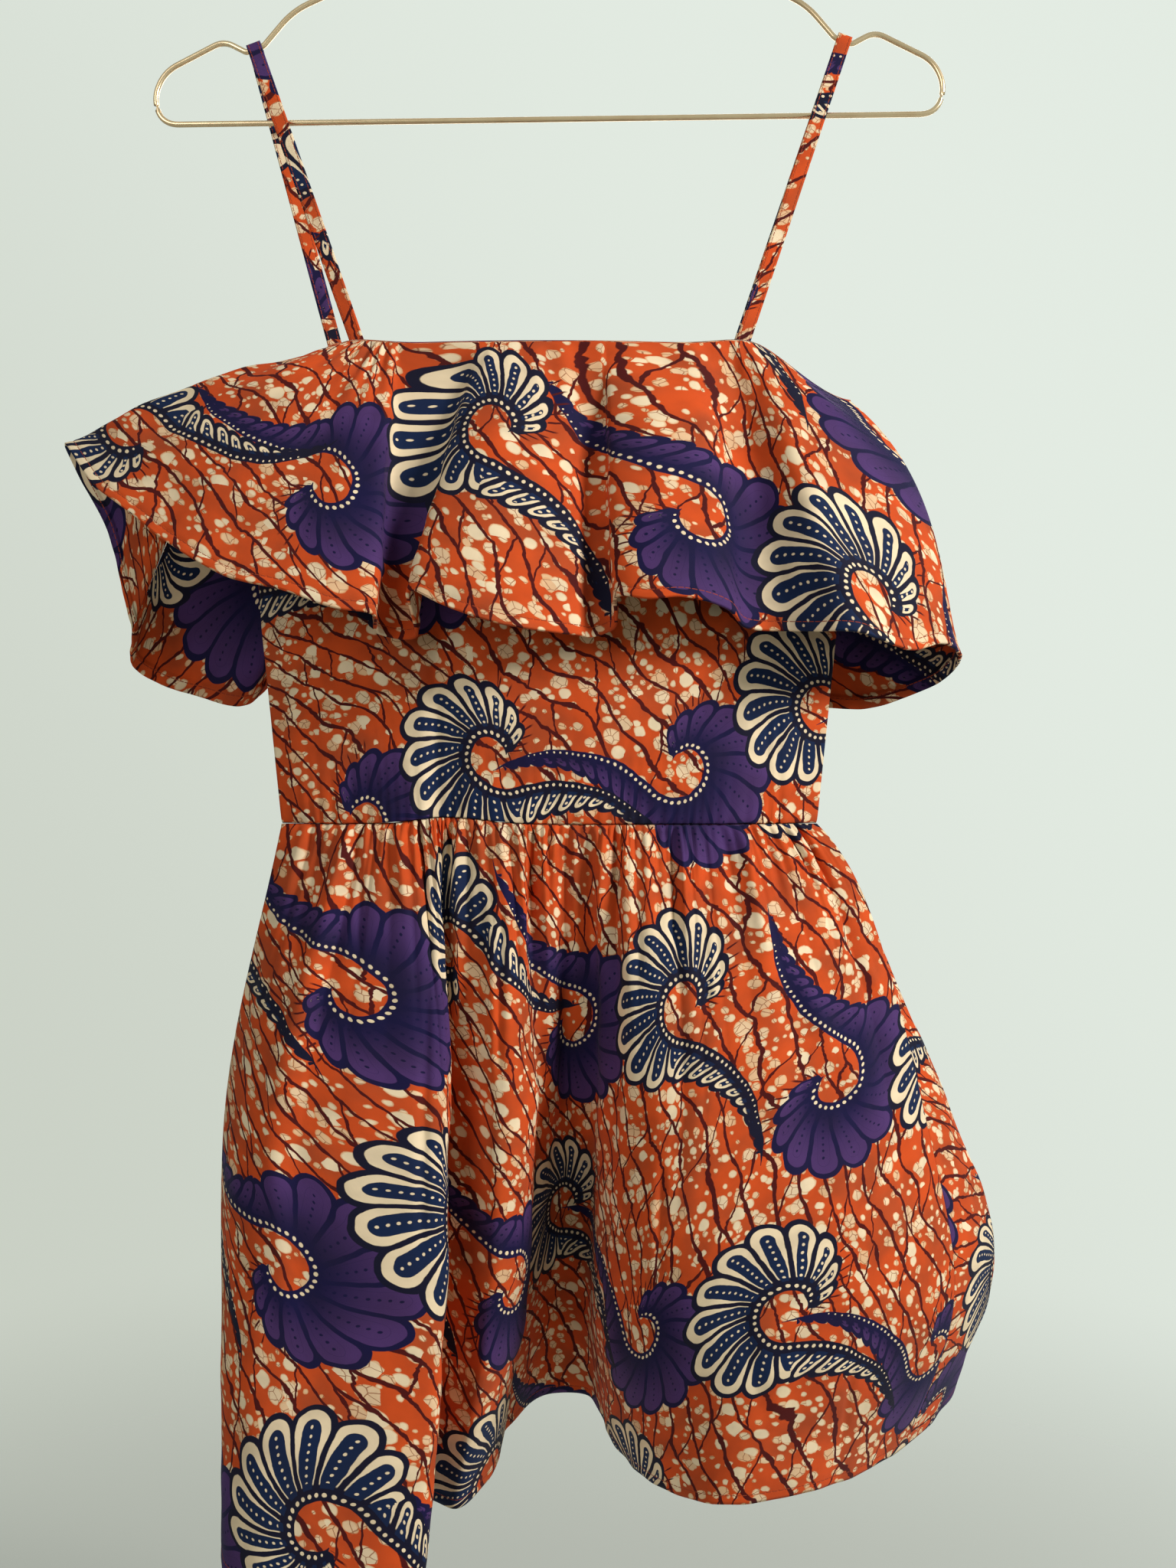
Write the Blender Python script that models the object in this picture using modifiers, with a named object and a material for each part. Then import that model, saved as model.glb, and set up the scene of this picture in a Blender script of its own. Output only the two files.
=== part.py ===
"""Short cotton dress with thin straps, a deep flounce, a fitted bodice and a gathered skirt.

It hangs by its straps on a notched wire hanger. Metres, +Z up. The front faces -Y, and +X is
the viewer's right. The origin is the point where the hanger's hook rests on its rail.
Run: blender --background --python part.py
"""
import math
from collections import namedtuple

import bmesh
import bpy
import numpy as np
from mathutils import Vector

OBJECT_NAME = "flounce_dress_on_hanger"

# Cloth
WALL = 0.0011                # thickness of every cloth wall
SEAM_GAP = 0.0003            # play between neighbouring pieces
SIDE_GAP = 0.0008            # between outer faces at the side seams, which is less between inner ones
SEAM_HALF = 0.0015           # half thickness of the body where front and back meet at a side seam
SIDE_TAPER = 0.05            # share of a panel's width over which its waves die at the side seams

# Hanger
WIRE_RADIUS = 0.0015
HOOK_INNER_RADIUS = 0.0170
HOOK_TIP_ANGLE = 208.0       # degrees, from +X over the top
HOOK_FOOT_ANGLE = -38.0
SHANK_END_Z = -0.0459
COLLAR_RADIUS = 0.0042
COLLAR_TOP_Z = -0.0462
COLLAR_BASE_Z = -0.0582
HANG_TILT = 0.0139           # the hanger's left end hangs this much lower for each metre

# Straps
STRAP_WIDTH = 0.0080
STRAP_THICK = 0.0016
STRAP_TAIL = 0.0150          # length sewn down inside the top edge
SEAT_X = 0.1613              # where a strap lies in its notch
SEAT_SLOPE = 0.372           # slope of the wire there

# Bodice
TOP_FRONT_Z = -0.3135
TOP_BACK_Z = -0.3230
TOP_SIDE_Z = -0.3360
STRAIGHT_TOP = 0.104         # the top edge is level out to here
STRAP_LIFT = 0.0035          # the straps pull the top edge up
STRAP_LIFT_X = 0.104
STRAP_LIFT_WIDTH = 0.0220
BODY_POWER = 2.4             # how flat the front and back are across
BODY_COLUMNS = 44
BODY_ROWS = 5
WAIST_Z = -0.5665
TUCK_X = -0.052              # soft vertical fold left of the middle
TUCK_TOP_Z = -0.440
TUCK_DEPTH = 0.0035
TUCK_WIDTH = 0.0080
TUCK_LIFT = 0.0038           # the waist seam rises into the fold
TUCK_LIFT_WIDTH = 0.0280

# Flounce
FLOUNCE_COLUMNS = 76
FLOUNCE_ROWS = (0.0, 0.10, 0.28, 0.50, 0.75, 1.0)
BOW_LIFT = 0.5               # the arch of a rib also rises by this share of it

# Skirt
GATHERS = 120                # puckers round the waist seam, two columns of faces to each
PUCKER_DEPTH = 0.0009
PUCKER_FADE = 0.045          # share of the skirt's length over which the puckers die out
FOLD_DEPTH = 0.0030          # folds that the puckers run into
FOLD_COUNTS = (23, 38)
FOLD_PHASES = (0.7, 2.1)
FOLD_START = 0.035
FOLD_FADE = 0.24
HIP_FLARE = 0.0110           # the gathers swell out below the waist at the right side seam
HIP_FLARE_DOWN = 0.13        # share of the skirt's length down to the fullest place
HIP_FLARE_REACH = 0.07       # share of the way round
SKIRT_LEVELS = (0.0, 0.42, 0.72, 1.0)
SKIRT_ROWS = (0.0, 0.02, 0.06, 0.14, 0.28, 0.50, 0.75, 1.0)

BodyRing = namedtuple("BodyRing", "height half_width front_depth back_depth")
BODY_RINGS = (
    BodyRing(-0.3135, 0.1660, 0.0330, 0.0350),
    BodyRing(-0.3700, 0.1630, 0.0370, 0.0350),
    BodyRing(-0.4600, 0.1575, 0.0340, 0.0330),
    BodyRing(-0.5665, 0.1465, 0.0300, 0.0300),
)

# Each row is a rib from the flounce's top seam to its hem. seam is the share of the way round
# the top edge, from the left side seam over the front; bow is how far the rib arches outwards.
FlounceRib = namedtuple("FlounceRib", "seam hem_x hem_y hem_z bow")
FLOUNCE_RIBS = (
    FlounceRib(0.000, -0.2358, 0.020, -0.4575, 0.008),
    FlounceRib(0.016, -0.2405, 0.016, -0.4306, 0.010),
    FlounceRib(0.032, -0.2459, 0.012, -0.4038, 0.012),
    FlounceRib(0.047, -0.2578, 0.006, -0.3780, 0.011),
    FlounceRib(0.064, -0.2641, -0.004, -0.3598, 0.011),
    FlounceRib(0.080, -0.2420, -0.022, -0.3856, 0.011),
    FlounceRib(0.091, -0.2172, -0.034, -0.4039, 0.011),
    FlounceRib(0.099, -0.1976, -0.044, -0.4189, 0.009),
    FlounceRib(0.108, -0.1599, -0.058, -0.4401, 0.006),
    FlounceRib(0.115, -0.1360, -0.064, -0.4460, 0.006),
    FlounceRib(0.122, -0.1040, -0.069, -0.4572, 0.005),
    FlounceRib(0.129, -0.0860, -0.066, -0.4600, 0.004),
    FlounceRib(0.141, -0.0844, -0.048, -0.4681, 0.000),
    FlounceRib(0.175, -0.0700, -0.046, -0.4700, 0.000),
    FlounceRib(0.200, -0.0687, -0.064, -0.4480, 0.003),
    FlounceRib(0.208, -0.0521, -0.072, -0.4554, 0.005),
    FlounceRib(0.222, -0.0279, -0.076, -0.4642, 0.006),
    FlounceRib(0.240, -0.0031, -0.072, -0.4683, 0.005),
    FlounceRib(0.260, 0.0170, -0.060, -0.4699, 0.003),
    FlounceRib(0.275, 0.0255, -0.048, -0.4692, 0.000),
    FlounceRib(0.287, 0.0330, -0.048, -0.4660, 0.000),
    FlounceRib(0.300, 0.0345, -0.066, -0.4510, 0.003),
    FlounceRib(0.330, 0.0526, -0.074, -0.4530, 0.005),
    FlounceRib(0.352, 0.0671, -0.072, -0.4520, 0.005),
    FlounceRib(0.374, 0.0925, -0.062, -0.4576, 0.003),
    FlounceRib(0.386, 0.1038, -0.046, -0.4644, 0.000),
    FlounceRib(0.396, 0.1236, -0.045, -0.4659, 0.000),
    FlounceRib(0.402, 0.1377, -0.054, -0.4672, 0.003),
    FlounceRib(0.408, 0.1537, -0.062, -0.4680, 0.005),
    FlounceRib(0.418, 0.1752, -0.052, -0.4731, 0.009),
    FlounceRib(0.430, 0.1918, -0.038, -0.4744, 0.013),
    FlounceRib(0.455, 0.2134, -0.015, -0.4690, 0.017),
    FlounceRib(0.500, 0.2303, 0.015, -0.4747, 0.018),
    FlounceRib(0.540, 0.2255, 0.045, -0.4858, 0.014),
    FlounceRib(0.565, 0.2058, 0.052, -0.4947, 0.009),
    FlounceRib(0.585, 0.1850, 0.057, -0.5005, 0.005),
    FlounceRib(0.605, 0.1600, 0.060, -0.4995, 0.005),
    FlounceRib(0.635, 0.1300, 0.074, -0.4990, 0.006),
    FlounceRib(0.665, 0.0950, 0.052, -0.4970, 0.001),
    FlounceRib(0.700, 0.0600, 0.075, -0.4980, 0.006),
    FlounceRib(0.735, 0.0200, 0.053, -0.4960, 0.001),
    FlounceRib(0.770, -0.0200, 0.076, -0.4970, 0.006),
    FlounceRib(0.805, -0.0600, 0.053, -0.4960, 0.001),
    FlounceRib(0.840, -0.1000, 0.075, -0.4980, 0.006),
    FlounceRib(0.870, -0.1380, 0.058, -0.4890, 0.001),
    FlounceRib(0.886, -0.1680, 0.064, -0.4850, 0.002),
    FlounceRib(0.900, -0.1805, 0.053, -0.4985, 0.004),
    FlounceRib(0.922, -0.2090, 0.052, -0.4930, 0.005),
    FlounceRib(0.945, -0.2270, 0.046, -0.4870, 0.006),
    FlounceRib(0.972, -0.2400, 0.034, -0.4770, 0.006),
)

# Each row is one line of the skirt, from the waist seam to the hem: the crest, flank or bottom
# of a fold. waist is the share of the way round the waist, from the left side seam over the
# front. mid and low are the line's places at the levels in SKIRT_LEVELS.
SkirtLine = namedtuple("SkirtLine", "waist mid_x mid_y low_x low_y hem_x hem_y hem_z")
SKIRT_LINES = (
    SkirtLine(0.000, -0.1780, 0.000, -0.1770, -0.008, -0.1710, -0.020, -0.9400),
    SkirtLine(0.045, -0.1570, -0.040, -0.1620, -0.050, -0.1630, -0.059, -0.9460),
    SkirtLine(0.090, -0.1120, -0.054, -0.1150, -0.065, -0.1110, -0.077, -0.9470),
    SkirtLine(0.132, -0.0520, -0.056, -0.0520, -0.066, -0.0600, -0.076, -0.9450),
    SkirtLine(0.146, -0.0500, -0.044, -0.0560, -0.047, -0.0690, -0.052, -0.9430),
    SkirtLine(0.160, -0.0600, -0.026, -0.0700, -0.018, -0.0870, -0.014, -0.9365),
    SkirtLine(0.174, -0.0440, -0.026, -0.0540, -0.014, -0.0680, 0.002, -0.9375),
    SkirtLine(0.190, -0.0280, -0.047, -0.0330, -0.034, -0.0500, -0.010, -0.9370),
    SkirtLine(0.213, -0.0120, -0.042, -0.0170, -0.020, -0.0350, 0.008, -0.9320),
    SkirtLine(0.245, -0.0020, -0.014, -0.0110, 0.030, -0.0250, 0.058, -0.9240),
    SkirtLine(0.275, 0.0130, -0.001, 0.0040, 0.054, -0.0020, 0.086, -0.9180),
    SkirtLine(0.293, 0.0260, -0.010, 0.0200, 0.042, 0.0200, 0.082, -0.9170),
    SkirtLine(0.312, 0.0330, -0.036, 0.0260, -0.004, 0.0285, 0.056, -0.9190),
    SkirtLine(0.330, 0.0480, -0.055, 0.0390, -0.036, 0.0370, 0.026, -0.9205),
    SkirtLine(0.370, 0.0750, -0.062, 0.0680, -0.060, 0.0585, -0.022, -0.9190),
    SkirtLine(0.405, 0.1050, -0.062, 0.1050, -0.068, 0.0920, -0.050, -0.9140),
    SkirtLine(0.437, 0.1380, -0.055, 0.1450, -0.062, 0.1300, -0.044, -0.9110),
    SkirtLine(0.468, 0.1680, -0.042, 0.1820, -0.048, 0.1680, -0.018, -0.9140),
    SkirtLine(0.500, 0.1950, -0.022, 0.2150, -0.024, 0.2000, 0.016, -0.9150),
    SkirtLine(0.535, 0.2130, 0.004, 0.2440, 0.010, 0.2260, 0.048, -0.9120),
    SkirtLine(0.575, 0.2050, 0.032, 0.2500, 0.045, 0.2430, 0.085, -0.9080),
    SkirtLine(0.630, 0.1550, 0.060, 0.1950, 0.088, 0.1950, 0.116, -0.9110),
    SkirtLine(0.680, 0.1080, 0.048, 0.1320, 0.070, 0.1380, 0.096, -0.9130),
    SkirtLine(0.730, 0.0580, 0.062, 0.0720, 0.094, 0.0820, 0.126, -0.9140),
    SkirtLine(0.780, 0.0140, 0.048, 0.0200, 0.080, 0.0250, 0.108, -0.9160),
    SkirtLine(0.830, -0.0280, 0.060, -0.0320, 0.086, -0.0320, 0.114, -0.9170),
    SkirtLine(0.880, -0.0700, 0.045, -0.0800, 0.060, -0.0860, 0.076, -0.9200),
    SkirtLine(0.925, -0.1180, 0.052, -0.1280, 0.064, -0.1320, 0.076, -0.9230),
    SkirtLine(0.965, -0.1600, 0.032, -0.1660, 0.036, -0.1650, 0.040, -0.9260),
)

# Half of the hanger's wire, from the neck out and back along the bar: corner and its radius
WireCorner = namedtuple("WireCorner", "x z radius")
WIRE_CORNERS = (
    WireCorner(0.0080, -0.0600, 0.004),
    WireCorner(0.1405, -0.1190, 0.010),
    WireCorner(0.1566, -0.1380, 0.0015),
    WireCorner(0.1660, -0.1415, 0.0015),
    WireCorner(0.1785, -0.1350, 0.006),
    WireCorner(0.2110, -0.1515, 0.008),
    WireCorner(0.2165, -0.1650, 0.006),
    WireCorner(0.2130, -0.1805, 0.010),
)


def clear_scene():
    for item in list(bpy.data.objects):
        bpy.data.objects.remove(item, do_unlink=True)


def make_material(name, colour, roughness, metallic):
    material = bpy.data.materials.new(name)
    material.use_nodes = True
    shader = material.node_tree.nodes["Principled BSDF"]
    shader.inputs["Base Color"].default_value = (*colour, 1.0)
    shader.inputs["Roughness"].default_value = roughness
    shader.inputs["Metallic"].default_value = metallic
    material.diffuse_color = (*colour, 1.0)
    return material


def place(name, data, material, collection):
    item = bpy.data.objects.new(name, data)
    data.materials.append(material)
    collection.objects.link(item)
    return item


def smoothstep(value):
    value = np.clip(value, 0.0, 1.0)
    return value * value * (3.0 - 2.0 * value)


def hermite(knots, rows, at):
    """Smooth curve through each row of values at the knots, read at that row's own place."""
    slopes = np.gradient(rows, knots, axis=1)
    index = np.clip(np.searchsorted(knots, at, side="right") - 1, 0, len(knots) - 2)
    pick = np.arange(len(at))
    span = knots[index + 1] - knots[index]
    t = (at - knots[index]) / span
    start, end = rows[pick, index], rows[pick, index + 1]
    rise = (1 + 2 * t) * (1 - t) ** 2 * start + t * t * (3 - 2 * t) * end
    bend = t * (1 - t) ** 2 * slopes[pick, index] - t * t * (1 - t) * slopes[pick, index + 1]
    return rise + bend * span


def around(knots, values, at, turn=0.0):
    """Smooth closed curve through values; it gains turn in each whole round."""
    knots, values = np.asarray(knots), np.asarray(values)
    all_knots = np.concatenate([knots[-3:] - 1.0, knots, knots[:4] + 1.0])
    all_values = np.concatenate([values[-3:] - turn, values, values[:4] + turn])
    return hermite(all_knots, np.broadcast_to(all_values, (len(at), len(all_knots))), at)


def ring_knots(points):
    """Shares of the way round a closed line at its points, and its length."""
    points = np.asarray(points)
    steps = np.linalg.norm(np.roll(points, -1, axis=0) - points, axis=1)
    return np.concatenate([[0.0], np.cumsum(steps)[:-1]]) / steps.sum(), steps.sum()


def body_ring(share, height, is_back, grow=0.0):
    """x and y of the body's outer face, share of the way round, grown outwards by grow."""
    heights = [-ring.height for ring in BODY_RINGS]
    half_width = np.interp(-height, heights, [ring.half_width for ring in BODY_RINGS])
    name = "back_depth" if is_back else "front_depth"
    depth = np.interp(-height, heights, [getattr(ring, name) for ring in BODY_RINGS])
    across = 4.0 * (share - 0.5) if is_back else 4.0 * share
    x = half_width * ((1.0 - across) if is_back else (across - 1.0))
    bulge = 1.0 - np.abs(x / half_width) ** BODY_POWER
    y = SEAM_HALF + (depth - SEAM_HALF) * bulge + grow
    if is_back:
        return x, y
    ramp = smoothstep((TUCK_TOP_Z - height) / (TUCK_TOP_Z - WAIST_Z))
    y = y - TUCK_DEPTH * ramp * np.exp(-((x - TUCK_X) / TUCK_WIDTH) ** 2)
    return x, -y


def arch_direction(share, is_back):
    """Level direction in which the flounce arches: straight out, but sideways at the side seams."""
    across = 4.0 * share - 1.0 - 2.0 * is_back
    turn = math.pi / 2.0 * across ** 3
    side = -1.0 if is_back else 1.0
    return np.column_stack([side * np.sin(turn), -side * np.cos(turn)])


def top_height(share, is_back):
    """Height of the top edge, which dips to the side seams under the arms."""
    x, _ = body_ring(share, np.full_like(share, TOP_FRONT_Z), is_back)
    dip = smoothstep((np.abs(x) - STRAIGHT_TOP) / (BODY_RINGS[0].half_width - STRAIGHT_TOP))
    middle = TOP_BACK_Z if is_back else TOP_FRONT_Z
    lift = STRAP_LIFT * np.exp(-((np.abs(x) - STRAP_LIFT_X) / STRAP_LIFT_WIDTH) ** 2)
    return middle + (TOP_SIDE_Z - middle) * dip + lift


def waist_height(x, is_back):
    if is_back:
        return np.full_like(x, WAIST_Z)
    return WAIST_Z + TUCK_LIFT * np.exp(-((x - TUCK_X) / TUCK_LIFT_WIDTH) ** 2)


def bodice_surface(across, down, is_back):
    """Outer face of a bodice panel; across and down run from 0 to 1."""
    share = (across + is_back) / 2.0
    top = top_height(share, is_back) - SEAM_GAP
    waist_x, _ = body_ring(share, np.full_like(share, WAIST_Z), is_back)
    bottom = waist_height(waist_x, is_back) + SEAM_GAP / 2.0
    height = top + (bottom - top) * down
    x, y = body_ring(share, height, is_back)
    return np.column_stack([x, y, height])


def outward(surface, across, down, is_back):
    """Level direction pointing out of a panel's face."""
    step = 1e-4
    low = np.clip(across - step, 0.0, 1.0)
    high = np.clip(across + step, 0.0, 1.0)
    along = surface(high, down, is_back) - surface(low, down, is_back)
    normal = np.column_stack([along[:, 1], -along[:, 0]])
    return normal / np.maximum(np.linalg.norm(normal, axis=1, keepdims=True), 1e-9)


def panel_span(knots, seam_index, length, is_back):
    """First and last share of the way round that a front or back panel covers."""
    trim = SIDE_GAP / 2.0 / length
    if is_back:
        return knots[seam_index] + trim, 1.0 - trim
    return trim, knots[seam_index] - trim


def row_of(table, column):
    return [getattr(row, column) for row in table]


FLOUNCE_KNOTS, FLOUNCE_HEM = ring_knots([(r.hem_x, r.hem_y, r.hem_z) for r in FLOUNCE_RIBS])
FLOUNCE_SEAM = row_of(FLOUNCE_RIBS, "seam").index(0.5)
SKIRT_KNOTS, SKIRT_HEM = ring_knots([(r.hem_x, r.hem_y) for r in SKIRT_LINES])
SKIRT_SEAM = row_of(SKIRT_LINES, "waist").index(0.5)


def flounce_surface(across, down, is_back):
    """Outer face of half the flounce."""
    first, last = panel_span(FLOUNCE_KNOTS, FLOUNCE_SEAM, FLOUNCE_HEM, is_back)
    place_round = first + (last - first) * across
    column = {name: around(FLOUNCE_KNOTS, row_of(FLOUNCE_RIBS, name), place_round)
              for name in ("hem_x", "hem_y", "hem_z", "bow")}
    seam = around(FLOUNCE_KNOTS, row_of(FLOUNCE_RIBS, "seam"), place_round, turn=1.0)
    seam = np.clip(seam, 0.5 * is_back, 0.5 + 0.5 * is_back)
    top_z = top_height(seam, is_back)
    top_x, top_y = body_ring(seam, top_z, is_back, grow=WALL + SEAM_GAP)
    top = np.column_stack([top_x, top_y, top_z])
    hem = np.column_stack([column["hem_x"], column["hem_y"], column["hem_z"]])
    arch = (4.0 * down * (1.0 - down) ** 1.5 * column["bow"])[:, None]
    points = top + (hem - top) * down[:, None]
    points[:, :2] += arch_direction(seam, is_back) * arch
    points[:, 2:] += arch * BOW_LIFT
    return points


def skirt_base(across, down, is_back):
    """Outer face of half the skirt with its large folds only."""
    first, last = panel_span(SKIRT_KNOTS, SKIRT_SEAM, SKIRT_HEM, is_back)
    place_round = first + (last - first) * across
    line = {name: around(SKIRT_KNOTS, row_of(SKIRT_LINES, name), place_round)
            for name in SkirtLine._fields[1:]}
    waist = around(SKIRT_KNOTS, row_of(SKIRT_LINES, "waist"), place_round, turn=1.0)
    waist = np.clip(waist, 0.5 * is_back, 0.5 + 0.5 * is_back)
    waist_x, waist_y = body_ring(waist, np.full_like(waist, WAIST_Z), is_back)
    top = waist_height(waist_x, is_back) - SEAM_GAP / 2.0
    levels = np.array(SKIRT_LEVELS)
    xs = np.stack([waist_x, line["mid_x"], line["low_x"], line["hem_x"]], axis=1)
    ys = np.stack([waist_y, line["mid_y"], line["low_y"], line["hem_y"]], axis=1)
    z = top + (line["hem_z"] - top) * down
    near = np.exp(-((place_round - SKIRT_KNOTS[SKIRT_SEAM]) / HIP_FLARE_REACH) ** 2)
    flare = HIP_FLARE * near * down / HIP_FLARE_DOWN * np.exp(1.0 - down / HIP_FLARE_DOWN)
    return np.column_stack([hermite(levels, xs, down) + flare, hermite(levels, ys, down), z])


def skirt_surface(across, down, is_back):
    """Outer face of half the skirt, with its gathers and the folds that they run into."""
    points = skirt_base(across, down, is_back)
    first, last = panel_span(SKIRT_KNOTS, SKIRT_SEAM, SKIRT_HEM, is_back)
    place_round = first + (last - first) * across
    side = smoothstep(np.minimum(across, 1.0 - across) / SIDE_TAPER)
    columns = skirt_columns(is_back)
    pucker = PUCKER_DEPTH * np.cos(math.pi * columns * across) * np.exp(-down / PUCKER_FADE)
    waves = sum(np.sin(2 * math.pi * count * place_round + phase) * (0.6 ** number)
                for number, (count, phase) in enumerate(zip(FOLD_COUNTS, FOLD_PHASES)))
    swell = (1.0 - np.exp(-down / FOLD_START)) * np.exp(-down / FOLD_FADE)
    push = side * (pucker + FOLD_DEPTH * waves * swell)
    points[:, :2] += outward(skirt_base, across, down, is_back) * push[:, None]
    return points


def skirt_columns(is_back):
    """Columns of faces in a skirt panel: two for each gather."""
    share = SKIRT_KNOTS[SKIRT_SEAM]
    return 2 * round(GATHERS * ((1.0 - share) if is_back else share))


def cloth_panel(name, surface, is_back, columns, rows, material, collection):
    """A grid laid on the surface as its outer face, with the wall inside it."""
    mesh = bmesh.new()
    bmesh.ops.create_grid(mesh, x_segments=columns, y_segments=len(rows) - 1, size=0.5)
    flat = np.array([vert.co for vert in mesh.verts])
    down = np.interp(0.5 - flat[:, 1], np.linspace(0.0, 1.0, len(rows)), rows)
    for vert, point in zip(mesh.verts, surface(flat[:, 0] + 0.5, down, is_back)):
        vert.co = point
    data = bpy.data.meshes.new(name)
    mesh.to_mesh(data)
    mesh.free()
    item = place(name, data, material, collection)
    wall = item.modifiers.new("wall", "SOLIDIFY")
    wall.thickness = WALL
    wall.offset = -1.0
    wall.use_even_offset = False
    return item


def hung(x, z):
    """A point of the hanger, which hangs a little lower at its left end."""
    return Vector((x, 0.0, z + HANG_TILT * x))


def rounded(corners, steps=4):
    """Points along a line with each corner rounded off to its radius."""
    points = []
    for before, corner, after in zip(corners, corners[1:], corners[2:]):
        here = Vector((corner.x, corner.z))
        to_before = (Vector((before.x, before.z)) - here).normalized() * corner.radius
        to_after = (Vector((after.x, after.z)) - here).normalized() * corner.radius
        for step in range(steps + 1):
            t = step / steps
            points.append(here + to_before * (1 - t) ** 2 + to_after * t ** 2)
    return [(point.x, point.y) for point in points]


def wire(name, points, material, collection, cyclic):
    curve = bpy.data.curves.new(name, "CURVE")
    curve.dimensions = "3D"
    curve.bevel_depth = WIRE_RADIUS
    curve.bevel_resolution = 2
    curve.use_fill_caps = not cyclic
    spline = curve.splines.new("POLY")
    spline.points.add(len(points) - 1)
    for spot, point in zip(spline.points, points):
        spot.co = (*point, 1.0)
    spline.use_cyclic_u = cyclic
    return place(name, curve, material, collection)


def make_hanger(material, collection):
    first, last = WIRE_CORNERS[0], WIRE_CORNERS[-1]
    across_top = first._replace(x=-first.x)
    across_bar = last._replace(x=-last.x)
    right = rounded((across_top, *WIRE_CORNERS, across_bar))
    left = [(-x, z) for x, z in reversed(right)]
    wire("hanger_frame", [hung(x, z) for x, z in right + left], material, collection, True)

    bpy.ops.mesh.primitive_cylinder_add(vertices=16, radius=COLLAR_RADIUS,
                                        depth=COLLAR_TOP_Z - COLLAR_BASE_Z)
    collar = bpy.context.object
    collar.name = "hanger_collar"
    collar.data.materials.append(material)
    collar.location = hung(0.0, (COLLAR_TOP_Z + COLLAR_BASE_Z) / 2.0)
    for owner in list(collar.users_collection):
        owner.objects.unlink(collar)
    collection.objects.link(collar)

    radius = HOOK_INNER_RADIUS + WIRE_RADIUS
    angles = np.radians(np.linspace(HOOK_TIP_ANGLE, HOOK_FOOT_ANGLE, 21))
    bend = [(radius * math.cos(a), radius * math.sin(a) - HOOK_INNER_RADIUS) for a in angles]
    foot_x, foot_z = bend[-1]
    corner_z = foot_z - foot_x * 0.55
    for step in range(1, 6):
        t = step / 5
        x = foot_x * (1 - t) ** 2
        z = foot_z * (1 - t) ** 2 + corner_z * 2 * t * (1 - t) + (corner_z - 0.004) * t ** 2
        bend.append((x, z))
    bend.append((0.0, SHANK_END_Z))
    wire("hanger_hook", [hung(x, z) for x, z in bend], material, collection, False)


def wall_frame(x, height, is_back):
    """A point just inside the body's wall, and the level direction along the wall there."""
    share = np.array([0.25 + x / (4.0 * BODY_RINGS[0].half_width)])
    share = 1.0 - share if is_back else share
    reach = 0.004
    spots = [body_ring(share + move / (4.0 * BODY_RINGS[0].half_width),
                       np.array([height]), is_back) for move in (-reach, 0.0, reach)]
    inside = WALL + 2.0 * SEAM_GAP
    points = [Vector((spot[0][0], spot[1][0] + (-inside if is_back else inside), height))
              for spot in spots]
    along = (points[2] - points[0]).normalized()
    return points[1], -along if is_back else along


def strap_frames(sign, front_x, back_x):
    """Places along a strap's outer face with its width's direction, front to back."""
    seat = hung(sign * SEAT_X, seat_height())
    width = Vector((1.0, 0.0, -sign * SEAT_SLOPE)).normalized()
    up = Vector((-width.z, 0.0, width.x))
    radius = WIRE_RADIUS + SEAM_GAP + STRAP_THICK
    over = [seat + up * (radius * math.sin(turn)) - Vector((0, radius * math.cos(turn), 0))
            for turn in np.radians(np.linspace(0.0, 180.0, 9))]
    legs = []
    for x, is_back, end in ((front_x, False, over[0]), (back_x, True, over[-1])):
        top = TOP_BACK_Z if is_back else TOP_FRONT_Z
        tail, tail_width = wall_frame(x, top - STRAP_TAIL, is_back)
        edge, edge_width = wall_frame(x, top, is_back)
        leg = [(tail, tail_width), (edge, edge_width)]
        for step in range(1, 7):
            t = step / 7
            leg.append((edge.lerp(end, t), edge_width.lerp(width, t).normalized()))
        legs.append(leg)
    return legs[0] + [(point, width) for point in over] + legs[1][::-1]


def seat_height():
    """Height of the wire's middle where a strap lies, before the hanger's tilt."""
    inner, outer = WIRE_CORNERS[2], WIRE_CORNERS[3]
    share = (SEAT_X - inner.x) / (outer.x - inner.x)
    return inner.z + (outer.z - inner.z) * share


def make_strap(name, sign, front_x, back_x, material, collection):
    frames = strap_frames(sign, front_x, back_x)

    def surface(across, down, _):
        points = []
        for share, along in zip(across, down):
            point, width = frames[round((1.0 - along) * (len(frames) - 1))]
            points.append(point + width * ((share - 0.5) * STRAP_WIDTH))
        return points

    rows = np.linspace(0.0, 1.0, len(frames))
    strap = cloth_panel(name, surface, False, 1, rows, material, collection)
    strap.modifiers["wall"].thickness = STRAP_THICK
    return strap


def main():
    clear_scene()
    collection = bpy.data.collections.new(OBJECT_NAME)
    bpy.context.scene.collection.children.link(collection)
    cotton = make_material("printed_cotton", (0.60, 0.12, 0.03), 0.85, 0.0)
    gold = make_material("gold_wire", (0.80, 0.62, 0.40), 0.25, 1.0)

    for side, is_back in (("front", False), ("back", True)):
        cloth_panel(f"bodice_{side}", bodice_surface, is_back, BODY_COLUMNS,
                    np.linspace(0.0, 1.0, BODY_ROWS + 1), cotton, collection)
        cloth_panel(f"flounce_{side}", flounce_surface, is_back, FLOUNCE_COLUMNS,
                    FLOUNCE_ROWS, cotton, collection)
        cloth_panel(f"skirt_{side}", skirt_surface, is_back, skirt_columns(is_back),
                    SKIRT_ROWS, cotton, collection)
    make_strap("strap_left", -1.0, -0.1005, -0.1150, cotton, collection)
    make_strap("strap_right", 1.0, 0.1025, 0.0985, cotton, collection)
    make_hanger(gold, collection)


main()
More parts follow.
